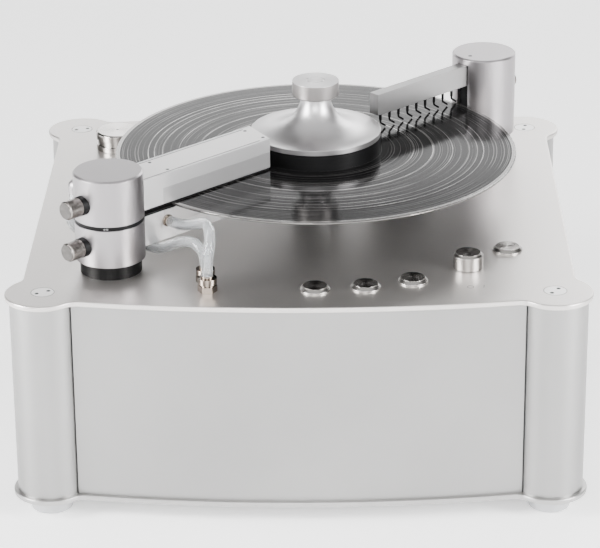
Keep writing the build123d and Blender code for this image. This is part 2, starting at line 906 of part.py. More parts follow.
def lips(face_z, away):
    """Two soft strips, one each side of the suction slit."""
    edge = half_arm - lip_inset
    half_slit = slit_width / 2
    with BuildPart() as piece:
        with BuildSketch(arm_plane(face_z)):
            Polygon(*arm_strip(arm_root, half_slit, edge, lip_inset), align=None)
            Polygon(*arm_strip(arm_root, -edge, -half_slit, lip_inset), align=None)
            Circle(tower_radius + seat_gap, mode=Mode.SUBTRACT)
        extrude(amount=-away * lip_height)
    return piece


upper_arm = suction_arm(upper_face_z, 1, has_port=False)
upper_arm.part.label = "upper_arm"
export_step(upper_arm.part, "parts/upper_arm.step")

upper_arm_lid = arm_lid(upper_face_z, 1)
upper_arm_lid.part.label = "upper_arm_lid"
export_step(upper_arm_lid.part, "parts/upper_arm_lid.step")

upper_lip_holders = lip_holders(upper_face_z, 1, has_port=False)
upper_lip_holders.part.label = "upper_lip_holders"
export_step(upper_lip_holders.part, "parts/upper_lip_holders.step")

upper_lips = lips(upper_face_z, 1)
upper_lips.part.label = "upper_lips"
export_step(upper_lips.part, "parts/upper_lips.step")

lower_arm = suction_arm(lower_face_z, -1, has_port=True)
lower_arm.part.label = "lower_arm"
export_step(lower_arm.part, "parts/lower_arm.step")

lower_arm_lid = arm_lid(lower_face_z, -1)
lower_arm_lid.part.label = "lower_arm_lid"
export_step(lower_arm_lid.part, "parts/lower_arm_lid.step")

lower_lip_holders = lip_holders(lower_face_z, -1, has_port=True)
lower_lip_holders.part.label = "lower_lip_holders"
export_step(lower_lip_holders.part, "parts/lower_lip_holders.step")

lower_lips = lips(lower_face_z, -1)
lower_lips.part.label = "lower_lips"
export_step(lower_lips.part, "parts/lower_lips.step")

with BuildPart() as lower_hose_port:
    with BuildSketch(port_face):
        Circle(port_flange_radius)
    extrude(amount=port_flange)
    with BuildSketch(port_face):
        Circle(port_neck_radius)
    extrude(amount=port_flange + port_neck)
    with BuildSketch(port_face):
        Circle(port_stem_radius)
    extrude(amount=channel_width / 2 - half_arm)
    with BuildSketch(port_face.offset(channel_width / 2 - half_arm)):
        Circle(port_bore)
    extrude(amount=port_mouth - channel_width / 2, mode=Mode.SUBTRACT)
lower_hose_port.part.label = "lower_hose_port"
export_step(lower_hose_port.part, "parts/lower_hose_port.step")

# ---------------------------------------------------------------- suction tower bodies


def thumb_seat(centre, angle, height, inner):
    """Cuts the seat of a thumb knob's collar and the hole of its stem into a tower body."""
    with BuildSketch(radial_plane(centre, angle, thumb_collar_seat, height)) as seat:
        Circle(thumb_collar_radius + seat_gap)
    extrude(seat.sketch, amount=tower_radius, mode=Mode.SUBTRACT)
    with BuildSketch(radial_plane(centre, angle, inner, height)) as stem_hole:
        Circle(thumb_stem_radius + slip)
    extrude(stem_hole.sketch, amount=tower_radius, mode=Mode.SUBTRACT)


def tenon_pocket(face_z, away):
    tenon_z = face_z + away * ((arm_height - tenon_height) / 2 - seat_gap)
    with BuildSketch(arm_plane(tenon_z)) as pocket:
        with Locations((arm_root - seat_gap, 0)):
            Rectangle(tower_radius, tenon_width + 2 * seat_gap, align=(Align.MIN, Align.CENTER))
    pocket_height = tenon_height + 2 * seat_gap
    extrude(pocket.sketch, amount=away * pocket_height, mode=Mode.SUBTRACT)


thumb_angle = arm_angle + knob_turned_back
elbow_plane = radial_plane(suction_centre, elbow_angle, 0, deck_z + elbow_level)
elbow_spot = polar(suction_centre, elbow_angle, elbow_reach)
elbow_mouth_z = deck_z + elbow_level - elbow_drop

with BuildPart() as upper_tower_body:
    with BuildSketch(level(suction_centre, spacer_z + spacer_height)):
        Circle(tower_radius)
    extrude(amount=tower_height - spacer_level - spacer_height)
    chamfer(upper_tower_body.faces().sort_by(Axis.Z)[-1].edges(), tower_chamfer)
    with BuildSketch(elbow_plane):
        Circle(elbow_radius)
    extrude(amount=elbow_reach)
    with Locations((elbow_spot[0], elbow_spot[1], deck_z + elbow_level)):
        Sphere(elbow_radius)
    with BuildSketch(level(elbow_spot, elbow_mouth_z)):
        Circle(elbow_radius)
    extrude(amount=elbow_drop)
    with BuildSketch(elbow_plane):
        Circle(fitting_bore)
    extrude(amount=elbow_reach, mode=Mode.SUBTRACT)
    with BuildSketch(level(elbow_spot, elbow_mouth_z)):
        Circle(fitting_bore)
    extrude(amount=elbow_drop, mode=Mode.SUBTRACT)
    with BuildSketch(level(suction_centre, spacer_z + spacer_height)):
        Circle(post_radius + slip)
    extrude(amount=post_top_z + turn_gap - spacer_z - spacer_height, mode=Mode.SUBTRACT)
    tenon_pocket(upper_face_z, 1)
    thumb_seat(suction_centre, thumb_angle, deck_z + upper_knob_level, post_radius)
upper_tower_body.part.label = "upper_tower_body"
export_step(upper_tower_body.part, "parts/upper_tower_body.step")

lower_body_z = deck_z + tower_ring_height + turn_gap

with BuildPart() as lower_tower_body:
    with BuildSketch(level(suction_centre, lower_body_z)):
        Circle(tower_radius)
        Circle(post_radius + slip, mode=Mode.SUBTRACT)
    extrude(amount=spacer_z - lower_body_z)
    tenon_pocket(lower_face_z, -1)
    thumb_seat(suction_centre, thumb_angle, deck_z + lower_knob_level, post_radius)
lower_tower_body.part.label = "lower_tower_body"
export_step(lower_tower_body.part, "parts/lower_tower_body.step")

# ---------------------------------------------------------------- thumb knobs


def thumb_collar(centre, angle, height):
    with BuildPart() as piece:
        with BuildSketch(radial_plane(centre, angle, thumb_collar_seat, height)):
            Circle(thumb_collar_radius)
            Circle(thumb_stem_radius + slip, mode=Mode.SUBTRACT)
        extrude(amount=thumb_collar_reach - thumb_collar_seat)
    return piece


def thumb_knob(centre, angle, height, inner):
    with BuildPart() as piece:
        with BuildSketch(radial_plane(centre, angle, thumb_collar_reach + turn_gap, height)):
            Circle(thumb_knob_radius)
        extrude(amount=thumb_knob_reach - thumb_collar_reach - turn_gap)
        outer_end = piece.faces().filter_by(GeomType.PLANE)
        outwards = Axis((centre[0], centre[1], height), (cos(radians(angle)), sin(radians(angle)), 0))
        chamfer(outer_end.sort_by(outwards)[-1].edges(), thumb_knob_chamfer)
        with BuildSketch(radial_plane(centre, angle, inner, height)):
            Circle(thumb_stem_radius)
        extrude(amount=thumb_collar_reach + turn_gap - inner)
    return piece


upper_knob_collar = thumb_collar(suction_centre, thumb_angle, deck_z + upper_knob_level)
upper_knob_collar.part.label = "upper_knob_collar"
export_step(upper_knob_collar.part, "parts/upper_knob_collar.step")

lower_knob_collar = thumb_collar(suction_centre, thumb_angle, deck_z + lower_knob_level)
lower_knob_collar.part.label = "lower_knob_collar"
export_step(lower_knob_collar.part, "parts/lower_knob_collar.step")

brush_knob_collar = thumb_collar(brush_centre, brush_knob_angle, deck_z + brush_knob_level)
brush_knob_collar.part.label = "brush_knob_collar"
export_step(brush_knob_collar.part, "parts/brush_knob_collar.step")

suction_stem_end = post_radius + thumb_stem_gap
upper_knob = thumb_knob(suction_centre, thumb_angle, deck_z + upper_knob_level, suction_stem_end)
upper_knob.part.label = "upper_knob"
export_step(upper_knob.part, "parts/upper_knob.step")

lower_knob = thumb_knob(suction_centre, thumb_angle, deck_z + lower_knob_level, suction_stem_end)
lower_knob.part.label = "lower_knob"
export_step(lower_knob.part, "parts/lower_knob.step")

brush_stem_end = brush_post_radius + thumb_stem_gap
brush_knob = thumb_knob(brush_centre, brush_knob_angle, deck_z + brush_knob_level, brush_stem_end)
brush_knob.part.label = "brush_knob"
export_step(brush_knob.part, "parts/brush_knob.step")

# ---------------------------------------------------------------- brush tower

carrier_back = brush_post_radius + post_top_wall / 2
slot_low_z = deck_z + slot_floor
slot_high_z = deck_z + slot_top
slot_outer = tower_distance - carrier_back

with BuildPart() as brush_tower_body:
    with BuildSketch(level(brush_centre, lower_body_z)):
        Circle(tower_radius)
    extrude(amount=tower_top_z - lower_body_z)
    chamfer(brush_tower_body.faces().sort_by(Axis.Z)[-1].edges(), tower_chamfer)
    with BuildSketch(level(brush_centre, lower_body_z)):
        Circle(brush_post_radius + slip)
    extrude(amount=post_top_z + turn_gap - lower_body_z, mode=Mode.SUBTRACT)
    with BuildSketch(bar_plane(lower_body_z)):
        with Locations((slot_outer, 0)):
            Rectangle(tower_radius, slot_width, align=(Align.MAX, Align.CENTER))
    extrude(amount=slot_high_z - lower_body_z, mode=Mode.SUBTRACT)
    thumb_seat(brush_centre, brush_knob_angle, deck_z + brush_knob_level, brush_post_radius)
brush_tower_body.part.label = "brush_tower_body"
export_step(brush_tower_body.part, "parts/brush_tower_body.step")

with BuildPart() as brush_carrier:
    with BuildSketch(bar_plane(slot_low_z)):
        with Locations((slot_outer - seat_gap, 0)):
            Rectangle(
                carrier_front - carrier_back, slot_width - 2 * seat_gap,
                align=(Align.MAX, Align.CENTER),
            )
    extrude(amount=slot_high_z - slot_low_z - seat_gap)
brush_carrier.part.label = "brush_carrier"
export_step(brush_carrier.part, "parts/brush_carrier.step")

nozzle_spots = [(nozzle_first + i * nozzle_pitch, -nozzle_offset) for i in range(nozzle_count)]
bar_outer_end = tower_distance - carrier_front - 2 * seat_gap


def spray_bar(face_z, away):
    """A square-ended bar with a fluid gallery along it and a feed hole for each nozzle."""
    middle_z = face_z + away * bar_height / 2
    gallery = Plane(
        origin=bar_plane(middle_z).from_local_coords((bar_outer_end, -gallery_offset, 0)),
        x_dir=(0, 0, 1),
        z_dir=(-cos(radians(bar_angle)), -sin(radians(bar_angle)), 0),
    )
    with BuildPart() as piece:
        with BuildSketch(bar_plane(face_z)):
            with Locations((bar_inner_end, 0)):
                Rectangle(
                    bar_outer_end - bar_inner_end, bar_width, align=(Align.MIN, Align.CENTER)
                )
        extrude(amount=away * bar_height)
        with BuildSketch(gallery):
            Circle(gallery_radius)
        extrude(amount=bar_outer_end - nozzle_first - gallery_radius / 2, mode=Mode.SUBTRACT)
        with BuildSketch(bar_plane(face_z)):
            with Locations(*nozzle_spots):
                Circle(nozzle_radius)
        extrude(amount=away * bar_height / 2, mode=Mode.SUBTRACT)
    return piece


upper_bar_z = record_top_z + bar_record_gap
lower_bar_z = record_z - bar_record_gap

upper_brush_bar = spray_bar(upper_bar_z, 1)
upper_brush_bar.part.label = "upper_brush_bar"
export_step(upper_brush_bar.part, "parts/upper_brush_bar.step")

lower_brush_bar = spray_bar(lower_bar_z, -1)
lower_brush_bar.part.label = "lower_brush_bar"
export_step(lower_brush_bar.part, "parts/lower_brush_bar.step")


nozzle_drop = bar_record_gap - nozzle_gap - nozzle_radius


def nozzle_row(face_z, away):
    """A row of sleeves under a bar, each with a thin tube that bends out to the record."""
    with BuildPart() as piece:
        for reach, side in nozzle_spots:
            with BuildSketch(bar_plane(face_z)):
                with Locations((reach, side)):
                    Circle(sleeve_radius)
            extrude(amount=-away * sleeve_length)
            points = [
                bar_plane(face_z).from_local_coords((reach, side, -away * sleeve_length / 2)),
                bar_plane(face_z).from_local_coords((reach, side, -away * nozzle_straight)),
                bar_plane(face_z).from_local_coords((reach + nozzle_kick, side, -away * nozzle_drop)),
            ]
            with BuildLine():
                run = FilletPolyline(*points, radius=nozzle_bend)
            with BuildSketch(Plane(origin=run @ 0, z_dir=run % 0)):
                Circle(nozzle_radius)
            sweep(path=run)
    return piece


with BuildPart() as spray_nozzles:
    add(nozzle_row(upper_bar_z, 1).part)
    add(nozzle_row(lower_bar_z, -1).part)
spray_nozzles.part.label = "spray_nozzles"
export_step(spray_nozzles.part, "parts/spray_nozzles.step")

# ---------------------------------------------------------------- controls

flange_z = ceiling_z - turn_gap - button_flange
switch_top_z = flange_z - plunger_length - button_travel - 2 * turn_gap
board_z = switch_top_z - switch_height - board_thickness

for number, spot in enumerate(button_spots, start=1):
    with BuildPart() as button:
        with BuildSketch(level(spot, flange_z)):
            Circle(button_radius)
        extrude(amount=deck_z + button_proud - flange_z)
        chamfer(button.faces().sort_by(Axis.Z)[-1].edges(), button_chamfer)
        with BuildSketch(level(spot, flange_z)):
            Circle(button_flange_radius)
        extrude(amount=button_flange)
        with BuildSketch(level(spot, flange_z - plunger_length)):
            Circle(plunger_radius)
        extrude(amount=plunger_length)
    button.part.label = f"button_{number}"
    export_step(button.part, f"parts/button_{number}.step")

with BuildPart() as power_knob:
    with BuildSketch(level(knob_spot, deck_z + power_knob_lift)):
        Circle(power_knob_radius)
    extrude(amount=power_knob_height - power_knob_lift)
    chamfer(power_knob.faces().sort_by(Axis.Z)[-1].edges(), power_knob_chamfer)
    with BuildSketch(level(knob_spot, ceiling_z - power_shaft_length)):
        Circle(power_shaft_radius)
    extrude(amount=power_shaft_length + plate_thickness + power_knob_lift)
power_knob.part.label = "power_knob"
export_step(power_knob.part, "parts/power_knob.step")

with BuildPart() as control_board:
    with BuildSketch(Plane.XY.offset(board_z)):
        Polygon(
            (board_left, board_back),
            (board_right, board_back),
            (board_right, board_notch_y),
            (board_notch_x, board_front),
            (board_left, board_front),
            align=None,
        )
    extrude(amount=board_thickness)
    with BuildSketch(Plane.XY.offset(board_z + board_thickness)):
        with Locations(*standoff_spots):
            Circle(standoff_radius)
    extrude(amount=ceiling_z - board_z - board_thickness)
control_board.part.label = "control_board"
export_step(control_board.part, "parts/control_board.step")

with BuildPart() as control_switches:
    with BuildSketch(Plane.XY.offset(board_z + board_thickness)):
        with Locations(*button_spots):
            Rectangle(switch_size, switch_size)
    extrude(amount=switch_height)
    with BuildSketch(level(knob_spot, board_z + board_thickness)):
        Circle(rotary_radius)
    extrude(amount=ceiling_z - board_z - board_thickness)
    with BuildSketch(level(knob_spot, ceiling_z - power_shaft_length - turn_gap)):
        Circle(power_shaft_radius + slip)
    extrude(amount=power_shaft_length + turn_gap, mode=Mode.SUBTRACT)
control_switches.part.label = "control_switches"
export_step(control_switches.part, "parts/control_switches.step")

# ---------------------------------------------------------------- fluid tank, pump and cap

fluid_tank_middle = (
    fluid_tank_right - fluid_tank_width / 2,
    fluid_tank_front + fluid_tank_depth / 2,
)
tank_top_z = floor_z + fluid_tank_height

with BuildPart() as fluid_tank:
    with BuildSketch(level(fluid_tank_middle, floor_z)):
        RectangleRounded(fluid_tank_width, fluid_tank_depth, 2 * tank_wall)
    extrude(amount=fluid_tank_height)
    with BuildSketch(level(filler_centre, tank_top_z)):
        Circle(neck_radius)
    extrude(amount=deck_z + neck_rise - tank_top_z)
    with BuildSketch(level(fluid_tank_middle, floor_z + tank_wall)):
        RectangleRounded(
            fluid_tank_width - 2 * tank_wall, fluid_tank_depth - 2 * tank_wall, tank_wall
        )
    extrude(amount=fluid_tank_height - 2 * tank_wall, mode=Mode.SUBTRACT)
    with BuildSketch(level(filler_centre, tank_top_z - tank_wall)):
        Circle(neck_bore)
    extrude(amount=deck_z + neck_rise - tank_top_z + tank_wall, mode=Mode.SUBTRACT)
    pipe_plane = Plane(
        origin=(fluid_tank_right - tank_wall, brush_y - pump_radius / 2, pipe_level),
        x_dir=(0, 1, 0),
        z_dir=(1, 0, 0),
    )
    with BuildSketch(pipe_plane):
        Circle(pipe_radius + seat_gap)
    extrude(amount=tank_wall, mode=Mode.SUBTRACT)
fluid_tank.part.label = "fluid_tank"
export_step(fluid_tank.part, "parts/fluid_tank.step")

with BuildPart() as fluid_pump:
    with BuildSketch(level(brush_centre, floor_z)):
        Circle(pump_radius - pump_foot_step)
    extrude(amount=pump_lift)
    with BuildSketch(level(brush_centre, floor_z + pump_lift)):
        Circle(pump_radius)
    extrude(amount=pump_height)
    with BuildSketch(level(brush_centre, floor_z + pump_lift + pump_height)):
        Circle(pipe_radius)
        Circle(pipe_bore, mode=Mode.SUBTRACT)
    extrude(amount=ceiling_z - post_flange - seat_gap - floor_z - pump_lift - pump_height)
    with BuildSketch(pipe_plane):
        Circle(pipe_radius)
    extrude(amount=brush_x - fluid_tank_right + tank_wall)
fluid_pump.part.label = "fluid_pump"
export_step(fluid_pump.part, "parts/fluid_pump.step")

with BuildPart() as filler_cap:
    with BuildSketch(upright(filler_centre)):
        waist_radius = cap_radius - cap_waist
        inner_z = deck_z + cap_height - cap_top
        with BuildLine():
            Polyline(
                (neck_radius + turn_gap, deck_z + cap_lift),
                (cap_radius, deck_z + cap_lift),
                (cap_radius, deck_z + cap_waist_low),
                (waist_radius, deck_z + cap_waist_low),
                (waist_radius, deck_z + cap_waist_high),
                (cap_radius, deck_z + cap_waist_high),
                (cap_radius, deck_z + cap_height - cap_chamfer),
                (cap_radius - cap_chamfer, deck_z + cap_height),
                (0, deck_z + cap_height),
                (0, inner_z),
                (neck_radius + turn_gap, inner_z),
                (neck_radius + turn_gap, deck_z + cap_lift),
            )
        make_face()
    revolve(axis=standing_axis(filler_centre))
filler_cap.part.label = "filler_cap"
export_step(filler_cap.part, "parts/filler_cap.step")

# ---------------------------------------------------------------- suction side

with BuildPart() as hose_fittings:
    for spot in (lower_fitting, upper_fitting):
        with BuildSketch(level(spot, deck_z)):
            RegularPolygon(fitting_hex_radius, 6)
        extrude(amount=fitting_hex_height)
        with BuildSketch(level(spot, deck_z)):
            Circle(fitting_neck_radius)
        extrude(amount=fitting_ring_high)
        with BuildSketch(level(spot, deck_z + fitting_ring_low)):
            Circle(fitting_ring_radius)
        extrude(amount=fitting_ring_high - fitting_ring_low)
        with BuildSketch(level(spot, deck_z + fitting_ring_high)):
            Circle(fitting_collar_radius)
        extrude(amount=fitting_height - fitting_ring_high)
        with BuildSketch(level(spot, deck_z - fitting_tail)):
            Circle(fitting_thread_radius)
        extrude(amount=fitting_tail)
        with BuildSketch(level(spot, deck_z - fitting_tail)):
            Circle(fitting_bore)
        extrude(amount=fitting_tail + fitting_height, mode=Mode.SUBTRACT)
hose_fittings.part.label = "hose_fittings"
export_step(hose_fittings.part, "parts/hose_fittings.step")

waste_top_z = ceiling_z - waste_tank_headroom
waste_floor_z = floor_z + waste_tank_lift
waste_middle = (
    waste_tank_left + waste_tank_width / 2,
    waste_tank_front + waste_tank_depth / 2,
)
duct_plane = Plane(
    origin=(turbine_x, waste_tank_front + waste_tank_depth - tank_wall, duct_level),
    x_dir=(1, 0, 0),
    z_dir=(0, 1, 0),
)

with BuildPart() as waste_tank:
    with BuildSketch(level(waste_middle, waste_floor_z)):
        RectangleRounded(waste_tank_width, waste_tank_depth, 2 * tank_wall)
    extrude(amount=waste_top_z - waste_floor_z)
    with BuildSketch(level(waste_middle, waste_floor_z + tank_wall)):
        RectangleRounded(
            waste_tank_width - 2 * tank_wall, waste_tank_depth - 2 * tank_wall, tank_wall
        )
    extrude(amount=waste_top_z - waste_floor_z - 2 * tank_wall, mode=Mode.SUBTRACT)
    with BuildSketch(Plane.XY.offset(waste_top_z - tank_wall)):
        with Locations(lower_fitting, upper_fitting):
            Circle(fitting_thread_radius + seat_gap)
    extrude(amount=tank_wall, mode=Mode.SUBTRACT)
    with BuildSketch(duct_plane):
        Circle(duct_radius + seat_gap)
    extrude(amount=tank_wall, mode=Mode.SUBTRACT)
    with BuildSketch(Plane.XY.offset(floor_z)):
        leg_x = waste_tank_width / 2 - 3 * tank_wall
        leg_y = waste_tank_depth / 2 - 3 * tank_wall
        with Locations(waste_middle):
            with GridLocations(2 * leg_x, 2 * leg_y, 2, 2):
                Circle(2 * tank_wall)
    extrude(amount=waste_tank_lift)
waste_tank.part.label = "waste_tank"
export_step(waste_tank.part, "parts/waste_tank.step")

fan_z = floor_z + turbine_height - turbine_wall - fan_height - turbine_wall
turbine_top_z = floor_z + turbine_height

with BuildPart() as turbine_housing:
    with BuildSketch(level(turbine_centre, floor_z)):
        Circle(turbine_radius)
    extrude(amount=turbine_height)
    fillet(turbine_housing.faces().sort_by(Axis.Z)[-1].edges(), turbine_wall / 2)
    with BuildSketch(duct_plane):
        Circle(duct_radius)
    extrude(amount=turbine_y - duct_plane.origin.Y)
    with BuildSketch(duct_plane):
        Circle(duct_bore)
    extrude(amount=turbine_y - duct_plane.origin.Y, mode=Mode.SUBTRACT)
    with BuildSketch(level(turbine_centre, fan_z - turbine_wall)):
        Circle(turbine_radius - turbine_wall)
    extrude(amount=fan_height + 2 * turbine_wall, mode=Mode.SUBTRACT)
    with BuildSketch(level(turbine_centre, fan_z - turbine_wall - fan_hub_radius)):
        Circle(fan_shaft_radius + slip)
    extrude(amount=fan_hub_radius, mode=Mode.SUBTRACT)
turbine_housing.part.label = "turbine_housing"
export_step(turbine_housing.part, "parts/turbine_housing.step")

with BuildPart() as turbine_fan:
    with BuildSketch(level(turbine_centre, fan_z)):
        Circle(fan_radius)
    extrude(amount=turbine_wall)
    with BuildSketch(level(turbine_centre, fan_z)):
        Circle(fan_hub_radius)
    extrude(amount=fan_height)
    with BuildSketch(level(turbine_centre, fan_z)):
        with PolarLocations(fan_hub_radius - fan_blade_thickness, fan_blades):
            Rectangle(
                fan_radius - fan_hub_radius, fan_blade_thickness,
                align=(Align.MIN, Align.CENTER),
            )
    extrude(amount=fan_height)
    with BuildSketch(level(turbine_centre, fan_z - turbine_wall - fan_hub_radius + fan_shaft_end_gap)):
        Circle(fan_shaft_radius)
    extrude(amount=turbine_wall + fan_hub_radius - fan_shaft_end_gap)
turbine_fan.part.label = "turbine_fan"
export_step(turbine_fan.part, "parts/turbine_fan.step")

# ---------------------------------------------------------------- power

with BuildPart() as power_supply:
    with BuildSketch(level((supply_x, supply_y), floor_z)):
        Rectangle(supply_width, supply_depth)
    extrude(amount=supply_height)
    chamfer(power_supply.faces().sort_by(Axis.Z)[-1].edges(), supply_chamfer)
power_supply.part.label = "power_supply"
export_step(power_supply.part, "parts/power_supply.step")

with BuildPart() as power_inlet:
    with BuildSketch(inlet_plane.offset(-inlet_flange)):
        Rectangle(inlet_flange_width, inlet_flange_height)
    extrude(amount=inlet_flange)
    with BuildSketch(inlet_plane.offset(-inlet_depth)):
        Rectangle(inlet_width, inlet_height)
    extrude(amount=inlet_depth - inlet_flange)
    with BuildSketch(inlet_plane):
        Rectangle(inlet_width - 2 * inlet_wall, inlet_height - 2 * inlet_wall)
    extrude(amount=inlet_wall - inlet_depth, mode=Mode.SUBTRACT)
    with BuildSketch(inlet_plane.offset(-inlet_depth)):
        with Locations((-inlet_pin_pitch, -inlet_pin), (0, inlet_pin), (inlet_pin_pitch, -inlet_pin)):
            Rectangle(inlet_pin, 2 * inlet_pin)
    extrude(amount=inlet_pin_length)
    with BuildSketch(inlet_plane):
        with Locations(*inlet_screws):
            Circle(inlet_screw_radius)
    extrude(amount=-inlet_flange, mode=Mode.SUBTRACT)
power_inlet.part.label = "power_inlet"
export_step(power_inlet.part, "parts/power_inlet.step")

# ---------------------------------------------------------------- hoses


def bend_radii(points):
    """One radius for each inner point: as large as the two runs beside it allow."""
    radii = []
    for before, at, after in zip(points, points[1:], points[2:]):
        run_in = Vector(*at) - Vector(*before)
        run_out = Vector(*after) - Vector(*at)
        shorter = min(run_in.length, run_out.length)
        half_turn = radians(run_in.get_angle(run_out)) / 2
        radii.append(0.45 * shorter / tan(half_turn))
    return radii


def hose(points, name):
    """A round hose of straight runs and tangent arcs; prints its bends, length and volume."""
    radii = bend_radii(points)
    with BuildPart() as piece:
        with BuildLine():
            run = FilletPolyline(*points, radius=radii)
        with BuildSketch(Plane(origin=run @ 0, z_dir=run % 0)):
            Circle(hose_radius)
        sweep(path=run)
    section = Face(Wire(Edge.make_circle(hose_radius))).area
    print(name, "radii", [round(r, 1) for r in radii], "length", round(run.length, 1))
    print(name, "volume", round(piece.part.volume, 1), "section x length",
          round(section * run.length, 1))
    return piece


port_end = port_level_plane.from_local_coords((port_reach, -port_mouth - cord_gap, 0))
lower_hose_route = [
    (port_end.X, port_end.Y, deck_z + port_level),
    (-84.5, -118.8, deck_z + 30.8),
    (-75.0, -128.5, deck_z + 35.0),
    (-66.0, -139.5, deck_z + 41.0),
    (-62.2, -153.5, deck_z + 41.0),
    (-62.0, -163.5, deck_z + 33.0),
    (lower_fitting[0], lower_fitting[1], deck_z + 23.0),
    (lower_fitting[0], lower_fitting[1], deck_z + fitting_height),
]
upper_hose_route = [
    (elbow_spot[0], elbow_spot[1], elbow_mouth_z - cord_gap),
    (elbow_spot[0], elbow_spot[1], deck_z + 45.0),
    (-163.8, -104.6, deck_z + 38.0),
    (-165.0, -102.0, deck_z + 30.0),
    (-162.8, -98.6, deck_z + 22.0),
    (-156.5, -93.8, deck_z + 15.4),
    (-147.0, -89.0, deck_z + 11.3),
    (-134.0, -88.0, deck_z + 9.4),
    (-119.5, -96.0, deck_z + 9.2),
    (-103.5, -111.5, deck_z + 9.6),
    (-94.0, -121.0, deck_z + 15.0),
    (-84.5, -131.0, deck_z + 23.0),
    (-74.8, -141.0, deck_z + 26.9),
    (-69.0, -146.8, deck_z + 23.8),
    (upper_fitting[0], upper_fitting[1], deck_z + 17.6),
    (upper_fitting[0], upper_fitting[1], deck_z + fitting_height),
]

lower_arm_hose = hose(lower_hose_route, "lower_arm_hose")
lower_arm_hose.part.label = "lower_arm_hose"
export_step(lower_arm_hose.part, "parts/lower_arm_hose.step")

upper_arm_hose = hose(upper_hose_route, "upper_arm_hose")
upper_arm_hose.part.label = "upper_arm_hose"
export_step(upper_arm_hose.part, "parts/upper_arm_hose.step")
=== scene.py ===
import math

import bmesh
import bpy
from mathutils import Matrix, Vector


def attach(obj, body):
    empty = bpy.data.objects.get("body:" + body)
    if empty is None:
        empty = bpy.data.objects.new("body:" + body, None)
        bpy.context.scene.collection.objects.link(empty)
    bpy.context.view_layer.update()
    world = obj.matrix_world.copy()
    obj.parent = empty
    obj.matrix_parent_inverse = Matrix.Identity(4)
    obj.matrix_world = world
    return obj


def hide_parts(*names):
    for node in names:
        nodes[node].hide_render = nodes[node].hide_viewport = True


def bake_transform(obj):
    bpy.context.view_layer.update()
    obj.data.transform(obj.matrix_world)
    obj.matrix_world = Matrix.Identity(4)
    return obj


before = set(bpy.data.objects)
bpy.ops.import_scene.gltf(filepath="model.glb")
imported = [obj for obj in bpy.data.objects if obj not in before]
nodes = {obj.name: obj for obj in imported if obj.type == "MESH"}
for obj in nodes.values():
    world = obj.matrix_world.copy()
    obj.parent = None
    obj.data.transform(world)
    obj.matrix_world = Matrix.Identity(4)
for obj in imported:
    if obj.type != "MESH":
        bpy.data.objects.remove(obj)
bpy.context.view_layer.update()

MM = 0.001
UP = (0.0, 0.0, 1.0)
DOWN = (0.0, 0.0, -1.0)

# The deck is the top face of the case, and heights are above the floor, in metres.
DECK = 0.168
CAP_TOP = 0.183
BUTTON_TOP = DECK + 0.0028
POWER_KNOB_TOP = DECK + 0.0115
UPPER_LID_FACE = 0.2340
LOWER_LID_FACE = 0.1842
TOWER_GAP = 0.2080
BRUSH_TOWER_TOP = 0.2435
CLAMP_KNOB_FOOT = 0.2529
CLAMP_KNOB_RIM = 0.2640

# The upright axes, seen from above.
SPINDLE = (0.0115, 0.0071)
SUCTION = (-0.1346, -0.1256)
BRUSH = (0.1442, 0.1364)
FILLER = (-0.1475, 0.1253)

# The suction arms run from their tower at this angle, and each has a lid let into its outer face.
ARM_ANGLE = math.radians(44.5)
ARM_WIDTH = 0.0312
ARM_END_SKEW = 0.0085
LID_START = 0.0213
LID_END = 0.1423
LID_HALF_WIDTH = 0.0130
LID_SCREW_REACHES = (0.0472, 0.14097)
LID_SCREW_SIDE = 0.0097

# The buttons and the power knob stand on an arc about the spindle, at angles from the front.
CONTROL_ARC = 0.1715
BUTTON_ANGLES = (0.0, 12.0, 23.8, 54.4)
POWER_KNOB_ANGLE = 39.6

# Name, axis, height and direction of the thumb knobs, and how far out their faces are.
THUMB_KNOBS = (
    ("upper", SUCTION, DECK + 0.0558, 226.0),
    ("lower", SUCTION, DECK + 0.0243, 226.0),
    ("brush", BRUSH, DECK + 0.0415, 55.0),
)
THUMB_KNOB_REACH = 0.0405

# Where the four tie rods come through the deck, and how far their spanner holes are turned.
TIE_RODS = (
    (-0.180, -0.168, 32),
    (-0.180, 0.168, 18),
    (0.180, -0.168, 56),
    (0.180, 0.168, 79),
)
TIE_ROD_HEAD = 0.00835
SPANNER_HOLE_OFFSET = 0.0046

# How far thin trim stands out of the face that it lies on.
PROUD = 0.00004


def polar(centre, degrees, radius):
    """The plan position at that angle and distance from a centre."""
    a = math.radians(degrees)
    return (centre[0] + radius * math.cos(a), centre[1] + radius * math.sin(a))


def heading(degrees):
    """The level direction at that angle."""
    a = math.radians(degrees)
    return (math.cos(a), math.sin(a), 0.0)


def control_spot(degrees):
    """The plan position of a control on the arc about the spindle."""
    return polar(SPINDLE, degrees - 90.0, CONTROL_ARC)


# ------------------------------------------------------------------ camera

yaw, pitch, roll = -0.0134, 0.4000, -0.0085
forward = Vector((math.sin(yaw) * math.cos(pitch), math.cos(yaw) * math.cos(pitch), -math.sin(pitch)))
right = Vector((math.cos(yaw), -math.sin(yaw), 0))
up = right.cross(forward)
right, up = (
    right * math.cos(roll) + up * math.sin(roll),
    up * math.cos(roll) - right * math.sin(roll),
)
camera_data = bpy.data.cameras.new("camera")
camera_data.lens = 166.1
camera_data.sensor_width = 36.0
camera_data.clip_end = 20.0
camera = bpy.data.objects.new("camera", camera_data)
bpy.context.scene.collection.objects.link(camera)
camera.matrix_world = Matrix.Translation((0.025, -1.953, 0.936)) @ Matrix(
    (
        (right.x, up.x, -forward.x, 0),
        (right.y, up.y, -forward.y, 0),
        (right.z, up.z, -forward.z, 0),
        (0, 0, 0, 1),
    )
)
bpy.context.scene.camera = camera

# ------------------------------------------------------------------ mesh helpers


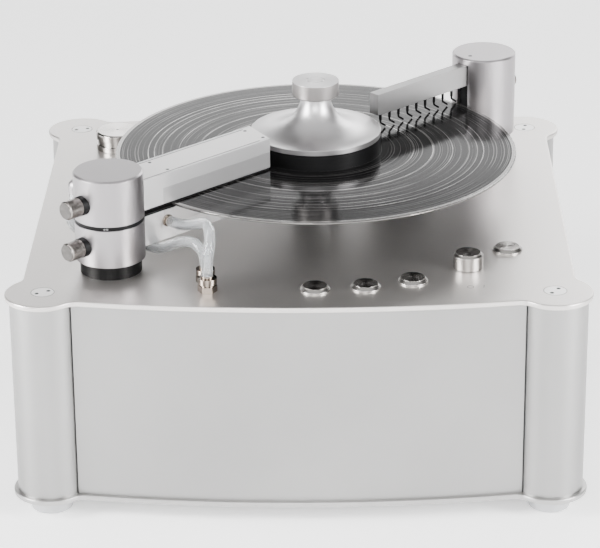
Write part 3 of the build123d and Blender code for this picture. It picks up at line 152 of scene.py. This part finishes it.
def make_object(name, bm, smooth=40.0):
    """Turns a bmesh into an object; faces that meet more flatly than the angle look smooth."""
    bmesh.ops.recalc_face_normals(bm, faces=bm.faces)
    mesh = bpy.data.meshes.new(name)
    bm.to_mesh(mesh)
    bm.free()
    mesh.shade_smooth()
    mesh.set_sharp_from_angle(angle=math.radians(smooth))
    obj = bpy.data.objects.new(name, mesh)
    bpy.context.scene.collection.objects.link(obj)
    return obj


def piece(obj, body, material):
    """Gives a new piece its look and the body that it rides on."""
    obj.data.materials.clear()
    obj.data.materials.append(material)
    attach(obj, body)
    return obj


def spin_profile(bm, profile, matrix, steps=48):
    """A closed turned shape: the profile is (radius, height) pairs from the axis to the axis."""
    rings = []
    for radius, height in profile:
        if radius < 1e-7:
            rings.append([bm.verts.new(matrix @ Vector((0, 0, height)))])
            continue
        ring = []
        for i in range(steps):
            a = 2 * math.pi * i / steps
            spot = Vector((radius * math.cos(a), radius * math.sin(a), height))
            ring.append(bm.verts.new(matrix @ spot))
        rings.append(ring)
    for low, high in zip(rings, rings[1:]):
        for i in range(steps):
            j = (i + 1) % steps
            if len(low) == 1:
                bm.faces.new((low[0], high[i], high[j]))
            elif len(high) == 1:
                bm.faces.new((low[i], high[0], low[j]))
            else:
                bm.faces.new((low[i], high[i], high[j], low[j]))


def place(x, y, z, axis=UP):
    """A matrix whose local Z runs along the axis from that point."""
    turn = Vector((0, 0, 1)).rotation_difference(Vector(axis)).to_matrix().to_4x4()
    return Matrix.Translation((x, y, z)) @ turn


# ------------------------------------------------------------------ hoses


def nurbs_line(name, route):
    """The points of a smooth spline that has the route's points as its control points."""
    curve = bpy.data.curves.new(name, "CURVE")
    curve.dimensions = "3D"
    curve.resolution_u = 24
    spline = curve.splines.new("NURBS")
    spline.points.add(len(route) - 1)
    for point, place_mm in zip(spline.points, route):
        point.co = (place_mm[0] * MM, place_mm[1] * MM, place_mm[2] * MM, 1.0)
    spline.order_u = 3
    spline.use_endpoint_u = True
    holder = bpy.data.objects.new(name, curve)
    bpy.context.scene.collection.objects.link(holder)
    bpy.context.view_layer.update()
    line = bpy.data.meshes.new_from_object(holder)
    points = [v.co.copy() for v in line.vertices]
    bpy.data.objects.remove(holder)
    bpy.data.meshes.remove(line)
    return points


def tube(bm, line, radius, steps=32):
    """A tube along a line of points; it gives back the rings at its two ends."""
    side = (line[1] - line[0]).orthogonal().normalized()
    rings = []
    for k, at in enumerate(line):
        before = line[max(k - 1, 0)]
        after = line[min(k + 1, len(line) - 1)]
        along = (after - before).normalized()
        side = (side - along * side.dot(along)).normalized()
        other = along.cross(side)
        ring = []
        for i in range(steps):
            a = 2 * math.pi * i / steps
            spot = at + side * (radius * math.cos(a)) + other * (radius * math.sin(a))
            ring.append(bm.verts.new(spot))
        rings.append(ring)
    for low, high in zip(rings, rings[1:]):
        for i in range(steps):
            bm.faces.new((low[i], low[(i + 1) % steps], high[(i + 1) % steps], high[i]))
    return rings[0], rings[-1]


HOSE_RADIUS = 4.0 * MM
HOSE_BORE = 2.5 * MM


def hose(name, route):
    """A clear hose with its bore, blended between the case and the arm that carries it."""
    line = nurbs_line(name, route)
    bm = bmesh.new()
    outer = tube(bm, line, HOSE_RADIUS)
    inner = tube(bm, line, HOSE_BORE)
    for wide, narrow in zip(outer, inner):
        count = len(wide)
        for i in range(count):
            bm.faces.new((wide[i], wide[(i + 1) % count], narrow[(i + 1) % count], narrow[i]))
    obj = make_object(name, bm)
    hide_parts(name)
    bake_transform(obj)
    return obj


lower_route = [
    (-92.1, -111.1, 198.5),
    (-84.5, -118.8, 198.8),
    (-75.0, -128.5, 203.0),
    (-66.0, -139.5, 209.0),
    (-62.2, -153.5, 209.0),
    (-62.0, -163.5, 201.0),
    (-64.0, -166.5, 191.0),
    (-64.0, -166.5, 180.1),
]
upper_route = [
    (-160.4, -107.5, 219.0),
    (-160.4, -107.5, 213.0),
    (-163.8, -104.6, 206.0),
    (-165.0, -102.0, 198.0),
    (-162.8, -98.6, 190.0),
    (-156.5, -93.8, 183.4),
    (-147.0, -89.0, 179.3),
    (-134.0, -88.0, 177.4),
    (-119.5, -96.0, 177.2),
    (-103.5, -111.5, 177.6),
    (-94.0, -121.0, 183.0),
    (-84.5, -131.0, 191.0),
    (-74.8, -141.0, 194.9),
    (-69.0, -146.8, 191.8),
    (-66.0, -150.0, 185.6),
    (-66.0, -150.0, 180.1),
]
lower_hose = hose("lower_arm_hose", lower_route)
upper_hose = hose("upper_arm_hose", upper_route)

# ------------------------------------------------------------------ materials


class Look:
    """A material and short calls that add nodes to it."""

    def __init__(self, name, base, metallic, roughness, **constants):
        self.material = bpy.data.materials.new(name)
        self.material.use_nodes = True
        self.tree = self.material.node_tree
        self.shader = self.tree.nodes["Principled BSDF"]
        self.shader.inputs["Base Color"].default_value = (*base, 1.0)
        self.shader.inputs["Metallic"].default_value = metallic
        self.shader.inputs["Roughness"].default_value = roughness
        for key, value in constants.items():
            self.shader.inputs[key.replace("_", " ")].default_value = value
        self.base = base
        coordinates = self.tree.nodes.new("ShaderNodeTexCoord")
        self.place = coordinates.outputs["Object"]
        self.normal = None

    def link(self, value, socket):
        if isinstance(value, bpy.types.NodeSocket):
            self.tree.links.new(value, socket)
        else:
            socket.default_value = value

    def math(self, operation, a, b=0.0, c=0.0004):
        """c is how near two lengths in metres must be for COMPARE to call them equal."""
        node = self.tree.nodes.new("ShaderNodeMath")
        node.operation = operation
        self.link(a, node.inputs[0])
        self.link(b, node.inputs[1])
        self.link(c, node.inputs[2])
        return node.outputs[0]

    def vector(self, operation, a, b=(0.0, 0.0, 0.0)):
        node = self.tree.nodes.new("ShaderNodeVectorMath")
        node.operation = operation
        self.link(a, node.inputs[0])
        self.link(b, node.inputs[1])
        return node.outputs["Value" if operation in ("LENGTH", "DOT_PRODUCT") else "Vector"]

    def noise(self, scale, detail=4.0, rough=0.55, where=None, one_d=False):
        node = self.tree.nodes.new("ShaderNodeTexNoise")
        if one_d:
            node.noise_dimensions = "1D"
            self.link(where, node.inputs["W"])
        else:
            self.link(where or self.place, node.inputs["Vector"])
        node.inputs["Scale"].default_value = scale
        node.inputs["Detail"].default_value = detail
        node.inputs["Roughness"].default_value = rough
        return node.outputs[0]

    def ramp(self, factor, stops):
        node = self.tree.nodes.new("ShaderNodeValToRGB")
        elements = node.color_ramp.elements
        while len(elements) < len(stops):
            elements.new(0.5)
        for element, (position, color) in zip(elements, stops):
            element.position = position
            element.color = (*color, 1.0)
        self.link(factor, node.inputs[0])
        return node.outputs[0]

    def spread(self, factor, low, high):
        node = self.tree.nodes.new("ShaderNodeMapRange")
        self.link(factor, node.inputs["Value"])
        node.inputs["To Min"].default_value = low
        node.inputs["To Max"].default_value = high
        return node.outputs[0]

    def tint(self, factor, spread):
        """The base colour, made a little darker and lighter by the factor."""
        low = tuple(max(0.0, c * (1 - spread)) for c in self.base)
        high = tuple(min(1.0, c * (1 + spread)) for c in self.base)
        self.link(self.ramp(factor, [(0.3, low), (0.7, high)]), self.shader.inputs["Base Color"])

    def rough(self, factor, low, high):
        self.link(self.spread(factor, low, high), self.shader.inputs["Roughness"])

    def round_edges(self, radius):
        node = self.tree.nodes.new("ShaderNodeBevel")
        node.samples = 4
        node.inputs["Radius"].default_value = radius
        self.normal = node.outputs[0]
        self.link(self.normal, self.shader.inputs["Normal"])

    def bump(self, height, strength, distance):
        node = self.tree.nodes.new("ShaderNodeBump")
        node.inputs["Strength"].default_value = strength
        node.inputs["Distance"].default_value = distance
        self.link(height, node.inputs["Height"])
        if self.normal:
            self.link(self.normal, node.inputs["Normal"])
        self.normal = node.outputs[0]
        self.link(self.normal, self.shader.inputs["Normal"])

    def around(self, centre, axis=UP):
        """Distance from an axis, and the direction round it, in the piece's own frame."""
        arm = self.vector("SUBTRACT", self.place, centre)
        across = self.vector("CROSS_PRODUCT", axis, arm)
        turn = self.tree.nodes.new("ShaderNodeVectorTransform")
        turn.vector_type = "VECTOR"
        turn.convert_from = "OBJECT"
        turn.convert_to = "WORLD"
        self.link(self.vector("NORMALIZE", across), turn.inputs[0])
        return self.vector("LENGTH", across), turn.outputs[0]

    def turned(self, centre, axis, anisotropic, low, high):
        """The fine rings and drawn-out highlights of a piece turned on a lathe."""
        radius, direction = self.around(centre, axis)
        along = self.vector("DOT_PRODUCT", self.place, axis)
        cut = self.math("ADD", radius, self.math("MULTIPLY", along, 1.7))
        rings = self.noise(2600.0, 3.0, 0.6, where=cut, one_d=True)
        self.link(anisotropic, self.shader.inputs["Anisotropic"])
        self.link(direction, self.shader.inputs["Tangent"])
        self.rough(rings, low, high)
        self.bump(rings, 0.35, 0.00002)


def satin(name, base, rough=0.34, edge=0.0004, grain=0.00004, spread=0.05):
    """Bead-blasted, anodised aluminium."""
    look = Look(name, base, 1.0, rough)
    look.round_edges(edge)
    fine = look.noise(2400.0, 3.0)
    broad = look.noise(9.0, 3.0)
    look.tint(broad, spread)
    mixed = look.math("ADD", look.math("MULTIPLY", fine, 0.8), look.math("MULTIPLY", broad, 0.2))
    look.rough(mixed, rough - 0.05, rough + 0.06)
    look.bump(fine, 0.35, grain)
    return look


def black(name, base=(0.003, 0.003, 0.0032), rough=0.5, grain=0.00006):
    """Black plastic, rubber or anodised metal with a fine matt grain."""
    look = Look(name, base, 0.0, rough, Specular_IOR_Level=0.12)
    look.round_edges(0.0003)
    fine = look.noise(1300.0, 4.0)
    look.tint(look.noise(35.0, 4.0), 0.35)
    look.rough(fine, rough - 0.08, rough + 0.12)
    look.bump(fine, 0.4, grain)
    return look


looks = {}


def dress(look, *names):
    """Gives the look to the named CAD pieces and softens their shading."""
    for name in names:
        nodes[name].data.materials.clear()
        nodes[name].data.materials.append(look.material)
        nodes[name].data.shade_smooth()
        nodes[name].data.set_sharp_from_angle(angle=math.radians(30))
        looks[name] = look


dress(satin("panel_satin", (0.33, 0.327, 0.323), 0.42), "front_panel", "rear_panel", "side_panels")
dress(satin("column_satin", (0.33, 0.327, 0.323), 0.36), "corner_columns")
dress(satin("plate_satin", (0.64, 0.615, 0.595), 0.38, edge=0.0006, grain=0.00001, spread=0.02),
      "top_plate")
dress(satin("base_plate_satin", (0.40, 0.395, 0.39), 0.38, edge=0.0006), "bottom_plate")
dress(satin("tower_satin", (0.345, 0.328, 0.336), 0.36, edge=0.0005),
      "upper_tower_body", "lower_tower_body", "brush_tower_body")
dress(satin("arm_satin", (0.66, 0.655, 0.66), 0.42), "upper_arm", "lower_arm")
dress(satin("lid_satin", (0.80, 0.79, 0.785), 0.46), "upper_arm_lid", "lower_arm_lid")
dress(satin("holder_satin", (0.52, 0.515, 0.52), 0.40), "upper_lip_holders", "lower_lip_holders")
dress(satin("bar_satin", (0.33, 0.325, 0.325), 0.40), "upper_brush_bar", "lower_brush_bar")
dress(satin("rod_satin", (0.90, 0.89, 0.88), 0.5), "tie_rods")
dress(satin("machined", (0.60, 0.60, 0.61), 0.30), "tower_posts", "spindle", "motor_pulley")
# The drive parts under the record take a dark satin, which is painted shade under the record.
dress(satin("drive_painted_shade_satin", (0.20, 0.20, 0.20), 0.40), "platter_pulley", "label_hub", "spindle_housing")

# The clamp is bead-blasted all over; the side of its knob has a darker copy of the silver, which is painted
# shade.
CLAMP_SILVER = (0.52, 0.51, 0.515)
clamp_look = Look("clamp_turned", CLAMP_SILVER, 1.0, 0.35)
clamp_look.round_edges(0.0005)
clamp_look.turned((*SPINDLE, 0.0), UP, anisotropic=0.3, low=0.30, high=0.42)
height = clamp_look.vector("DOT_PRODUCT", clamp_look.place, UP)
above_foot = clamp_look.math("GREATER_THAN", height, CLAMP_KNOB_FOOT)
below_rim = clamp_look.math("LESS_THAN", height, CLAMP_KNOB_RIM)
# The knob's side band, where the darker colour is painted shade.
painted_shade_knob_side = clamp_look.math("MULTIPLY", above_foot, below_rim)
clamp_look.link(clamp_look.ramp(painted_shade_knob_side, [(0.0, CLAMP_SILVER), (1.0, (0.27, 0.255, 0.25))]),
                clamp_look.shader.inputs["Base Color"])
dress(clamp_look, "record_clamp")


def turned_look(name, centre, axis=UP, base=(0.36, 0.345, 0.33), low=0.16, high=0.30):
    """Bright steel, turned about the axis through the centre."""
    look = Look(name, base, 1.0, (low + high) / 2)
    look.round_edges(0.0004)
    look.turned(centre, axis, 0.9, low, high)
    return look


for i, angle in enumerate(BUTTON_ANGLES, start=1):
    dress(turned_look(f"button_turned_{i}", (*control_spot(angle), 0.0)), f"button_{i}")
dress(turned_look("power_knob_turned", (*control_spot(POWER_KNOB_ANGLE), 0.0)), "power_knob")
dress(turned_look("cap_turned", (*FILLER, 0.0), low=0.08, high=0.2), "filler_cap")
for name, centre, level, angle in THUMB_KNOBS:
    dress(turned_look(name + "_knob_turned", (*centre, level), heading(angle),
                      base=(0.27, 0.25, 0.237), low=0.2, high=0.34), name + "_knob")

dress(black("ring_black", rough=0.38), "tower_rings")
dress(black("collar_black", rough=0.40), "upper_knob_collar", "lower_knob_collar", "brush_knob_collar")
dress(black("carrier_black", rough=0.42), "brush_carrier")
dress(black("nozzle_black", rough=0.35), "spray_nozzles")
dress(black("lip_rubber", (0.004, 0.004, 0.004), 0.7, 0.0001), "upper_lips", "lower_lips", "drive_belt")
dress(black("moulded_black", (0.010, 0.010, 0.0105), 0.5), "fluid_pump", "turbine_housing", "turbine_fan",
      "control_switches", "power_inlet")

seal_look = black("seal_black", rough=0.42)
height = seal_look.vector("DOT_PRODUCT", seal_look.place, UP)
seal_look.bump(seal_look.noise(900.0, 2.0, 0.5, where=height, one_d=True), 0.5, 0.00025)
dress(seal_look, "clamp_seal")

foot_look = Look("foot_pale", (0.42, 0.425, 0.435), 0.0, 0.4, Subsurface_Weight=0.25)
foot_look.shader.inputs["Subsurface Radius"].default_value = (0.004, 0.004, 0.004)
foot_look.round_edges(0.0005)
foot_look.tint(foot_look.noise(60.0), 0.04)
foot_look.rough(foot_look.noise(900.0), 0.34, 0.5)
foot_look.bump(foot_look.noise(1400.0), 0.3, 0.00004)
dress(foot_look, "feet")

tank_look = Look("tank_natural", (0.80, 0.81, 0.79), 0.0, 0.45, Subsurface_Weight=0.3)
tank_look.round_edges(0.001)
tank_look.tint(tank_look.noise(14.0), 0.05)
tank_look.rough(tank_look.noise(700.0), 0.38, 0.56)
tank_look.bump(tank_look.noise(500.0), 0.3, 0.0001)
dress(tank_look, "fluid_tank", "waste_tank")

board_look = Look("board_green", (0.02, 0.14, 0.06), 0.0, 0.35)
copper = board_look.tree.nodes.new("ShaderNodeTexVoronoi")
copper.feature = "DISTANCE_TO_EDGE"
copper.inputs["Scale"].default_value = 120.0
board_look.link(board_look.place, copper.inputs["Vector"])
board_look.link(board_look.ramp(copper.outputs[0], [(0.0, (0.035, 0.2, 0.09)), (0.06, (0.015, 0.11, 0.05))]),
                board_look.shader.inputs["Base Color"])
board_look.bump(copper.outputs[0], 0.3, 0.0001)
dress(board_look, "control_board")

dress(satin("motor_grey", (0.42, 0.42, 0.43), 0.4), "drive_motor")
dress(satin("supply_steel", (0.58, 0.59, 0.60), 0.3, spread=0.12), "power_supply")

nickel = Look("nickel", (0.25, 0.215, 0.185), 1.0, 0.2)
nickel.round_edges(0.0003)
nickel.tint(nickel.noise(60.0), 0.06)
nickel.rough(nickel.noise(900.0), 0.08, 0.22)
nickel.bump(nickel.noise(1600.0), 0.25, 0.00002)
dress(nickel, "hose_fittings", "lower_hose_port")

# Radii of the gaps between tracks and of the record's smooth rim, in millimetres.
TRACK_GAPS = (74.0, 88.5, 103.2, 115.6, 121.7, 126.4)
RIM_START = 147.6
vinyl = Look("vinyl", (0.006, 0.006, 0.0065), 0.0, 0.1,
             Coat_Weight=0.01, Coat_Roughness=0.03, Specular_IOR_Level=0.03)
radius, direction = vinyl.around((*SPINDLE, 0.0))
bands = vinyl.noise(260.0, 4.0, 0.7, where=radius, one_d=True)
fine = vinyl.noise(3200.0, 2.0, 0.6, where=radius, one_d=True)
pale = vinyl.math("MULTIPLY", bands, 0.12)
fade = vinyl.spread(vinyl.noise(14.0, 2.0), -0.6, 1.8)
loud = vinyl.math("GREATER_THAN", vinyl.noise(900.0, 1.0, 0.5, where=radius, one_d=True), 0.62)
pale = vinyl.math("ADD", pale, vinyl.math("MULTIPLY", vinyl.math("MULTIPLY", loud, fade), 0.45))
for gap in TRACK_GAPS:
    ring = vinyl.math("COMPARE", radius, gap * MM)
    pale = vinyl.math("ADD", pale, vinyl.math("MULTIPLY", ring, fade))
rim = vinyl.math("GREATER_THAN", radius, RIM_START * MM)
pale = vinyl.math("ADD", pale, vinyl.math("MULTIPLY", rim, 0.8))
vinyl.link(direction, vinyl.shader.inputs["Tangent"])
vinyl.link(0.4, vinyl.shader.inputs["Anisotropic"])
vinyl.link(vinyl.ramp(pale, [
    (0.0, (0.0012, 0.0012, 0.0013)),
    (0.12, (0.007, 0.007, 0.0072)),
    (1.0, (0.17, 0.165, 0.16)),
]), vinyl.shader.inputs["Base Color"])
vinyl.link(vinyl.spread(pale, 0.0, 0.9), vinyl.shader.inputs["Metallic"])
vinyl.rough(bands, 0.04, 0.16)
vinyl.bump(vinyl.math("ADD", fine, vinyl.math("MULTIPLY", bands, 0.6)), 0.3, 0.00003)
dress(vinyl, "record")

clear = Look("hose_clear", (0.84, 0.86, 0.875), 0.0, 0.14, Transmission_Weight=0.88, IOR=1.42)
clear.tint(clear.noise(70.0), 0.03)
clear.rough(clear.noise(320.0), 0.04, 0.16)
clear.bump(clear.noise(160.0, 3.0), 0.15, 0.0001)
for obj in (lower_hose, upper_hose):
    obj.data.materials.append(clear.material)

# ------------------------------------------------------------------ small details

# Black for the small screws, and for the discs that paint the shade inside holes.
hole_shade_and_screw_look = black("screw_black_and_hole_shade", (0.006, 0.006, 0.006), 0.35)
seam_look = black("seam_dark", (0.008, 0.008, 0.008), 0.6)
print_look = black("print_grey", (0.10, 0.10, 0.10), 0.6)
pin_look = satin("pin_steel", (0.16, 0.16, 0.16), 0.35)


def disc(bm, matrix, outer, height, inner=0.0):
    """A disc, or a ring where there is an inner radius, that stands on a surface."""
    start = [(inner, 0.0), (inner, height)] if inner else [(0.0, height)]
    spin_profile(bm, start + [(outer, height), (outer, 0.0), (inner, 0.0)], matrix, 32)
    bmesh.ops.remove_doubles(bm, verts=bm.verts, dist=1e-7)


def strip(bm, start, end, width, z, height):
    """A thin straight bar between two points of a level surface."""
    along = Vector((end[0] - start[0], end[1] - start[1], 0.0))
    middle = Vector(((start[0] + end[0]) / 2, (start[1] + end[1]) / 2, z + height / 2))
    turn = Matrix.Rotation(math.atan2(along.y, along.x), 4, "Z")
    size = Matrix.Diagonal((along.length, width, abs(height), 1.0))
    bmesh.ops.create_cube(bm, size=1.0, matrix=Matrix.Translation(middle) @ turn @ size)


def arm_spot(reach, side):
    """The plan position of a point on a suction arm, in metres."""
    c, s = math.cos(ARM_ANGLE), math.sin(ARM_ANGLE)
    return (SUCTION[0] + reach * c - side * s, SUCTION[1] + reach * s + side * c)


for name, lid_face, facing, side_out in (
    ("upper_arm", UPPER_LID_FACE, UP, 1),
    ("lower_arm", LOWER_LID_FACE, DOWN, -1),
):
    bm = bmesh.new()
    # Black discs at the lid's screw holes are painted shade inside the holes.
    for reach in LID_SCREW_REACHES:
        for side in (-LID_SCREW_SIDE, LID_SCREW_SIDE):
            disc(bm, place(*arm_spot(reach, side), lid_face, facing), 0.00135, PROUD)
    piece(make_object(name + "_lid_screw_hole_shade", bm), name + "_group", hole_shade_and_screw_look.material)
    bm = bmesh.new()
    for side in (-LID_HALF_WIDTH, LID_HALF_WIDTH):
        cut_back = ARM_END_SKEW * (ARM_WIDTH / 2 - side) / ARM_WIDTH
        end = arm_spot(LID_END - cut_back, side)
        strip(bm, arm_spot(LID_START, side), end, 0.0007, lid_face, side_out * PROUD)
    piece(make_object(name + "_lid_seams", bm), name + "_group", seam_look.material)

seams = bmesh.new()
holes = bmesh.new()
for x, y, turn in TIE_RODS:
    disc(seams, place(x, y, DECK), TIE_ROD_HEAD, PROUD, 0.00800)
    # Black discs over the spanner holes are painted shade inside the holes.
    for angle in (turn, turn + 180):
        disc(holes, place(*polar((x, y), angle, SPANNER_HOLE_OFFSET), DECK), 0.00150, PROUD)
piece(make_object("tie_rod_seams", seams), "case", seam_look.material)
piece(make_object("spanner_holes", holes), "case", hole_shade_and_screw_look.material)

# An O and an I are printed beside the power knob.
bm = bmesh.new()
disc(bm, place(0.1210, -0.1610, DECK), 0.0024, 0.00003, 0.0020)
strip(bm, (0.1303, -0.1622), (0.1307, -0.1576), 0.0004, DECK, 0.00003)
piece(make_object("power_marks", bm), "case", print_look.material)

bm = bmesh.new()
disc(bm, place(*FILLER, CAP_TOP), 0.0009, 0.00006)
piece(make_object("filler_cap_centre", bm), "tank_cap", hole_shade_and_screw_look.material)

bm = bmesh.new()
disc(bm, place(*polar(BRUSH, 224.3, 0.016), BRUSH_TOWER_TOP), 0.0016, 0.00005)
piece(make_object("brush_tower_screw", bm), "brush_tower", hole_shade_and_screw_look.material)

# The turned end faces of the knobs and buttons are slightly dished, with a raised edge; the thumb knobs'
# faces are a darker copy of the knob steel, which is painted shade.
KNOB_DISH = ((0.0, 0.00012), (0.0011, 0.00016), (0.0055, 0.00060), (0.0058, 0.00060), (0.0059, 0.0))
BUTTON_DISH = ((0.0, 0.00005), (0.0084, 0.00040), (0.0087, 0.00040), (0.0088, 0.0))
POWER_DISH = ((0.0, 0.00005), (0.0087, 0.00040), (0.0090, 0.00040), (0.0091, 0.0))


def dished_face(name, dish, where, body, material):
    """The end face of a knob or button."""
    bm = bmesh.new()
    spin_profile(bm, (*dish, (0.0, 0.0)), where)
    piece(make_object(name, bm), body, material)


for name, centre, level, angle in THUMB_KNOBS:
    facing = heading(angle)
    where = place(*polar(centre, angle, THUMB_KNOB_REACH), level, facing)
    # The thumb knobs' faces take a darker copy of the knob steel: painted shade.
    painted_shade_face_look = turned_look(name + "_knob_face_painted_shade", (*centre, level), facing,
                            (0.10, 0.095, 0.091), 0.18, 0.3)
    dished_face(name + "_knob_face", KNOB_DISH, where, name + "_thumb_knob", painted_shade_face_look.material)
for i, (angle, word) in enumerate(zip(BUTTON_ANGLES, ("one", "two", "three", "four")), start=1):
    where = place(*control_spot(angle), BUTTON_TOP)
    dished_face(f"button_{i}_face", BUTTON_DISH, where, "button_" + word, looks[f"button_{i}"].material)
where = place(*control_spot(POWER_KNOB_ANGLE), POWER_KNOB_TOP)
dished_face("power_knob_face", POWER_DISH, where, "power_switch_knob", looks["power_knob"].material)

# Two steel pins show in the black ring between the suction tower's bodies.
bm = bmesh.new()
for angle in (266.0, 270.5):
    disc(bm, place(*polar(SUCTION, angle, 0.0244), TOWER_GAP, heading(angle)), 0.0008, 0.0005)
piece(make_object("spacer_pins", bm), "case", pin_look.material)

# ------------------------------------------------------------------ light and floor

world = bpy.data.worlds.new("studio")
bpy.context.scene.world = world
world.use_nodes = True
background = world.node_tree.nodes["Background"]
background.inputs["Color"].default_value = (1.0, 0.99, 0.98, 1.0)
background.inputs["Strength"].default_value = 0.10


def softbox(name, where, size, radiance, aim=(0.0, 0.0, 0.15)):
    """A rectangular soft light of that brightness, turned towards a point."""
    data = bpy.data.lights.new(name, "AREA")
    data.shape = "RECTANGLE"
    data.size, data.size_y = size
    data.energy = radiance * math.pi * size[0] * size[1]
    obj = bpy.data.objects.new(name, data)
    bpy.context.scene.collection.objects.link(obj)
    obj.location = where
    obj.rotation_euler = (Vector(aim) - Vector(where)).to_track_quat("-Z", "Y").to_euler()


# The deck and the record mirror the sweep behind them, whose top edge makes the deck's dark front.
softbox("back_sweep", (0.0, 2.0, 0.72), (3.6, 0.62), 5.5, aim=(0.0, 0.0, 0.72))
softbox("back_right_box", (1.15, 2.0, 1.36), (1.5, 0.74), 9.0, aim=(0.0, 0.0, 0.3))
softbox("front_box", (-0.1, -2.6, 1.1), (1.6, 1.2), 10.0)
softbox("top_box", (0.0, -1.6, 5.0), (9.0, 8.0), 1.0, aim=(0.0, -1.6, 0.0))
softbox("left_box", (-1.30, -0.62, 0.70), (0.55, 1.0), 38.0, aim=(0.0, 0.0, 0.05))
softbox("right_box", (1.30, -0.85, 0.70), (0.55, 1.0), 38.0, aim=(0.0, 0.0, 0.05))

FLOOR_SIZE = 30.0
FLOOR_LEVEL = -0.00005
bm = bmesh.new()
bmesh.ops.create_grid(bm, x_segments=8, y_segments=8, size=FLOOR_SIZE)
for v in bm.verts:
    v.co.z = FLOOR_LEVEL
floor = make_object("floor", bm)
floor_look = Look("floor_white", (0.92, 0.92, 0.92), 0.0, 0.6, Emission_Strength=0.6)
floor_look.shader.inputs["Emission Color"].default_value = (1.0, 1.0, 1.0, 1.0)
floor_look.tint(floor_look.noise(0.8), 0.004)
floor.data.materials.append(floor_look.material)
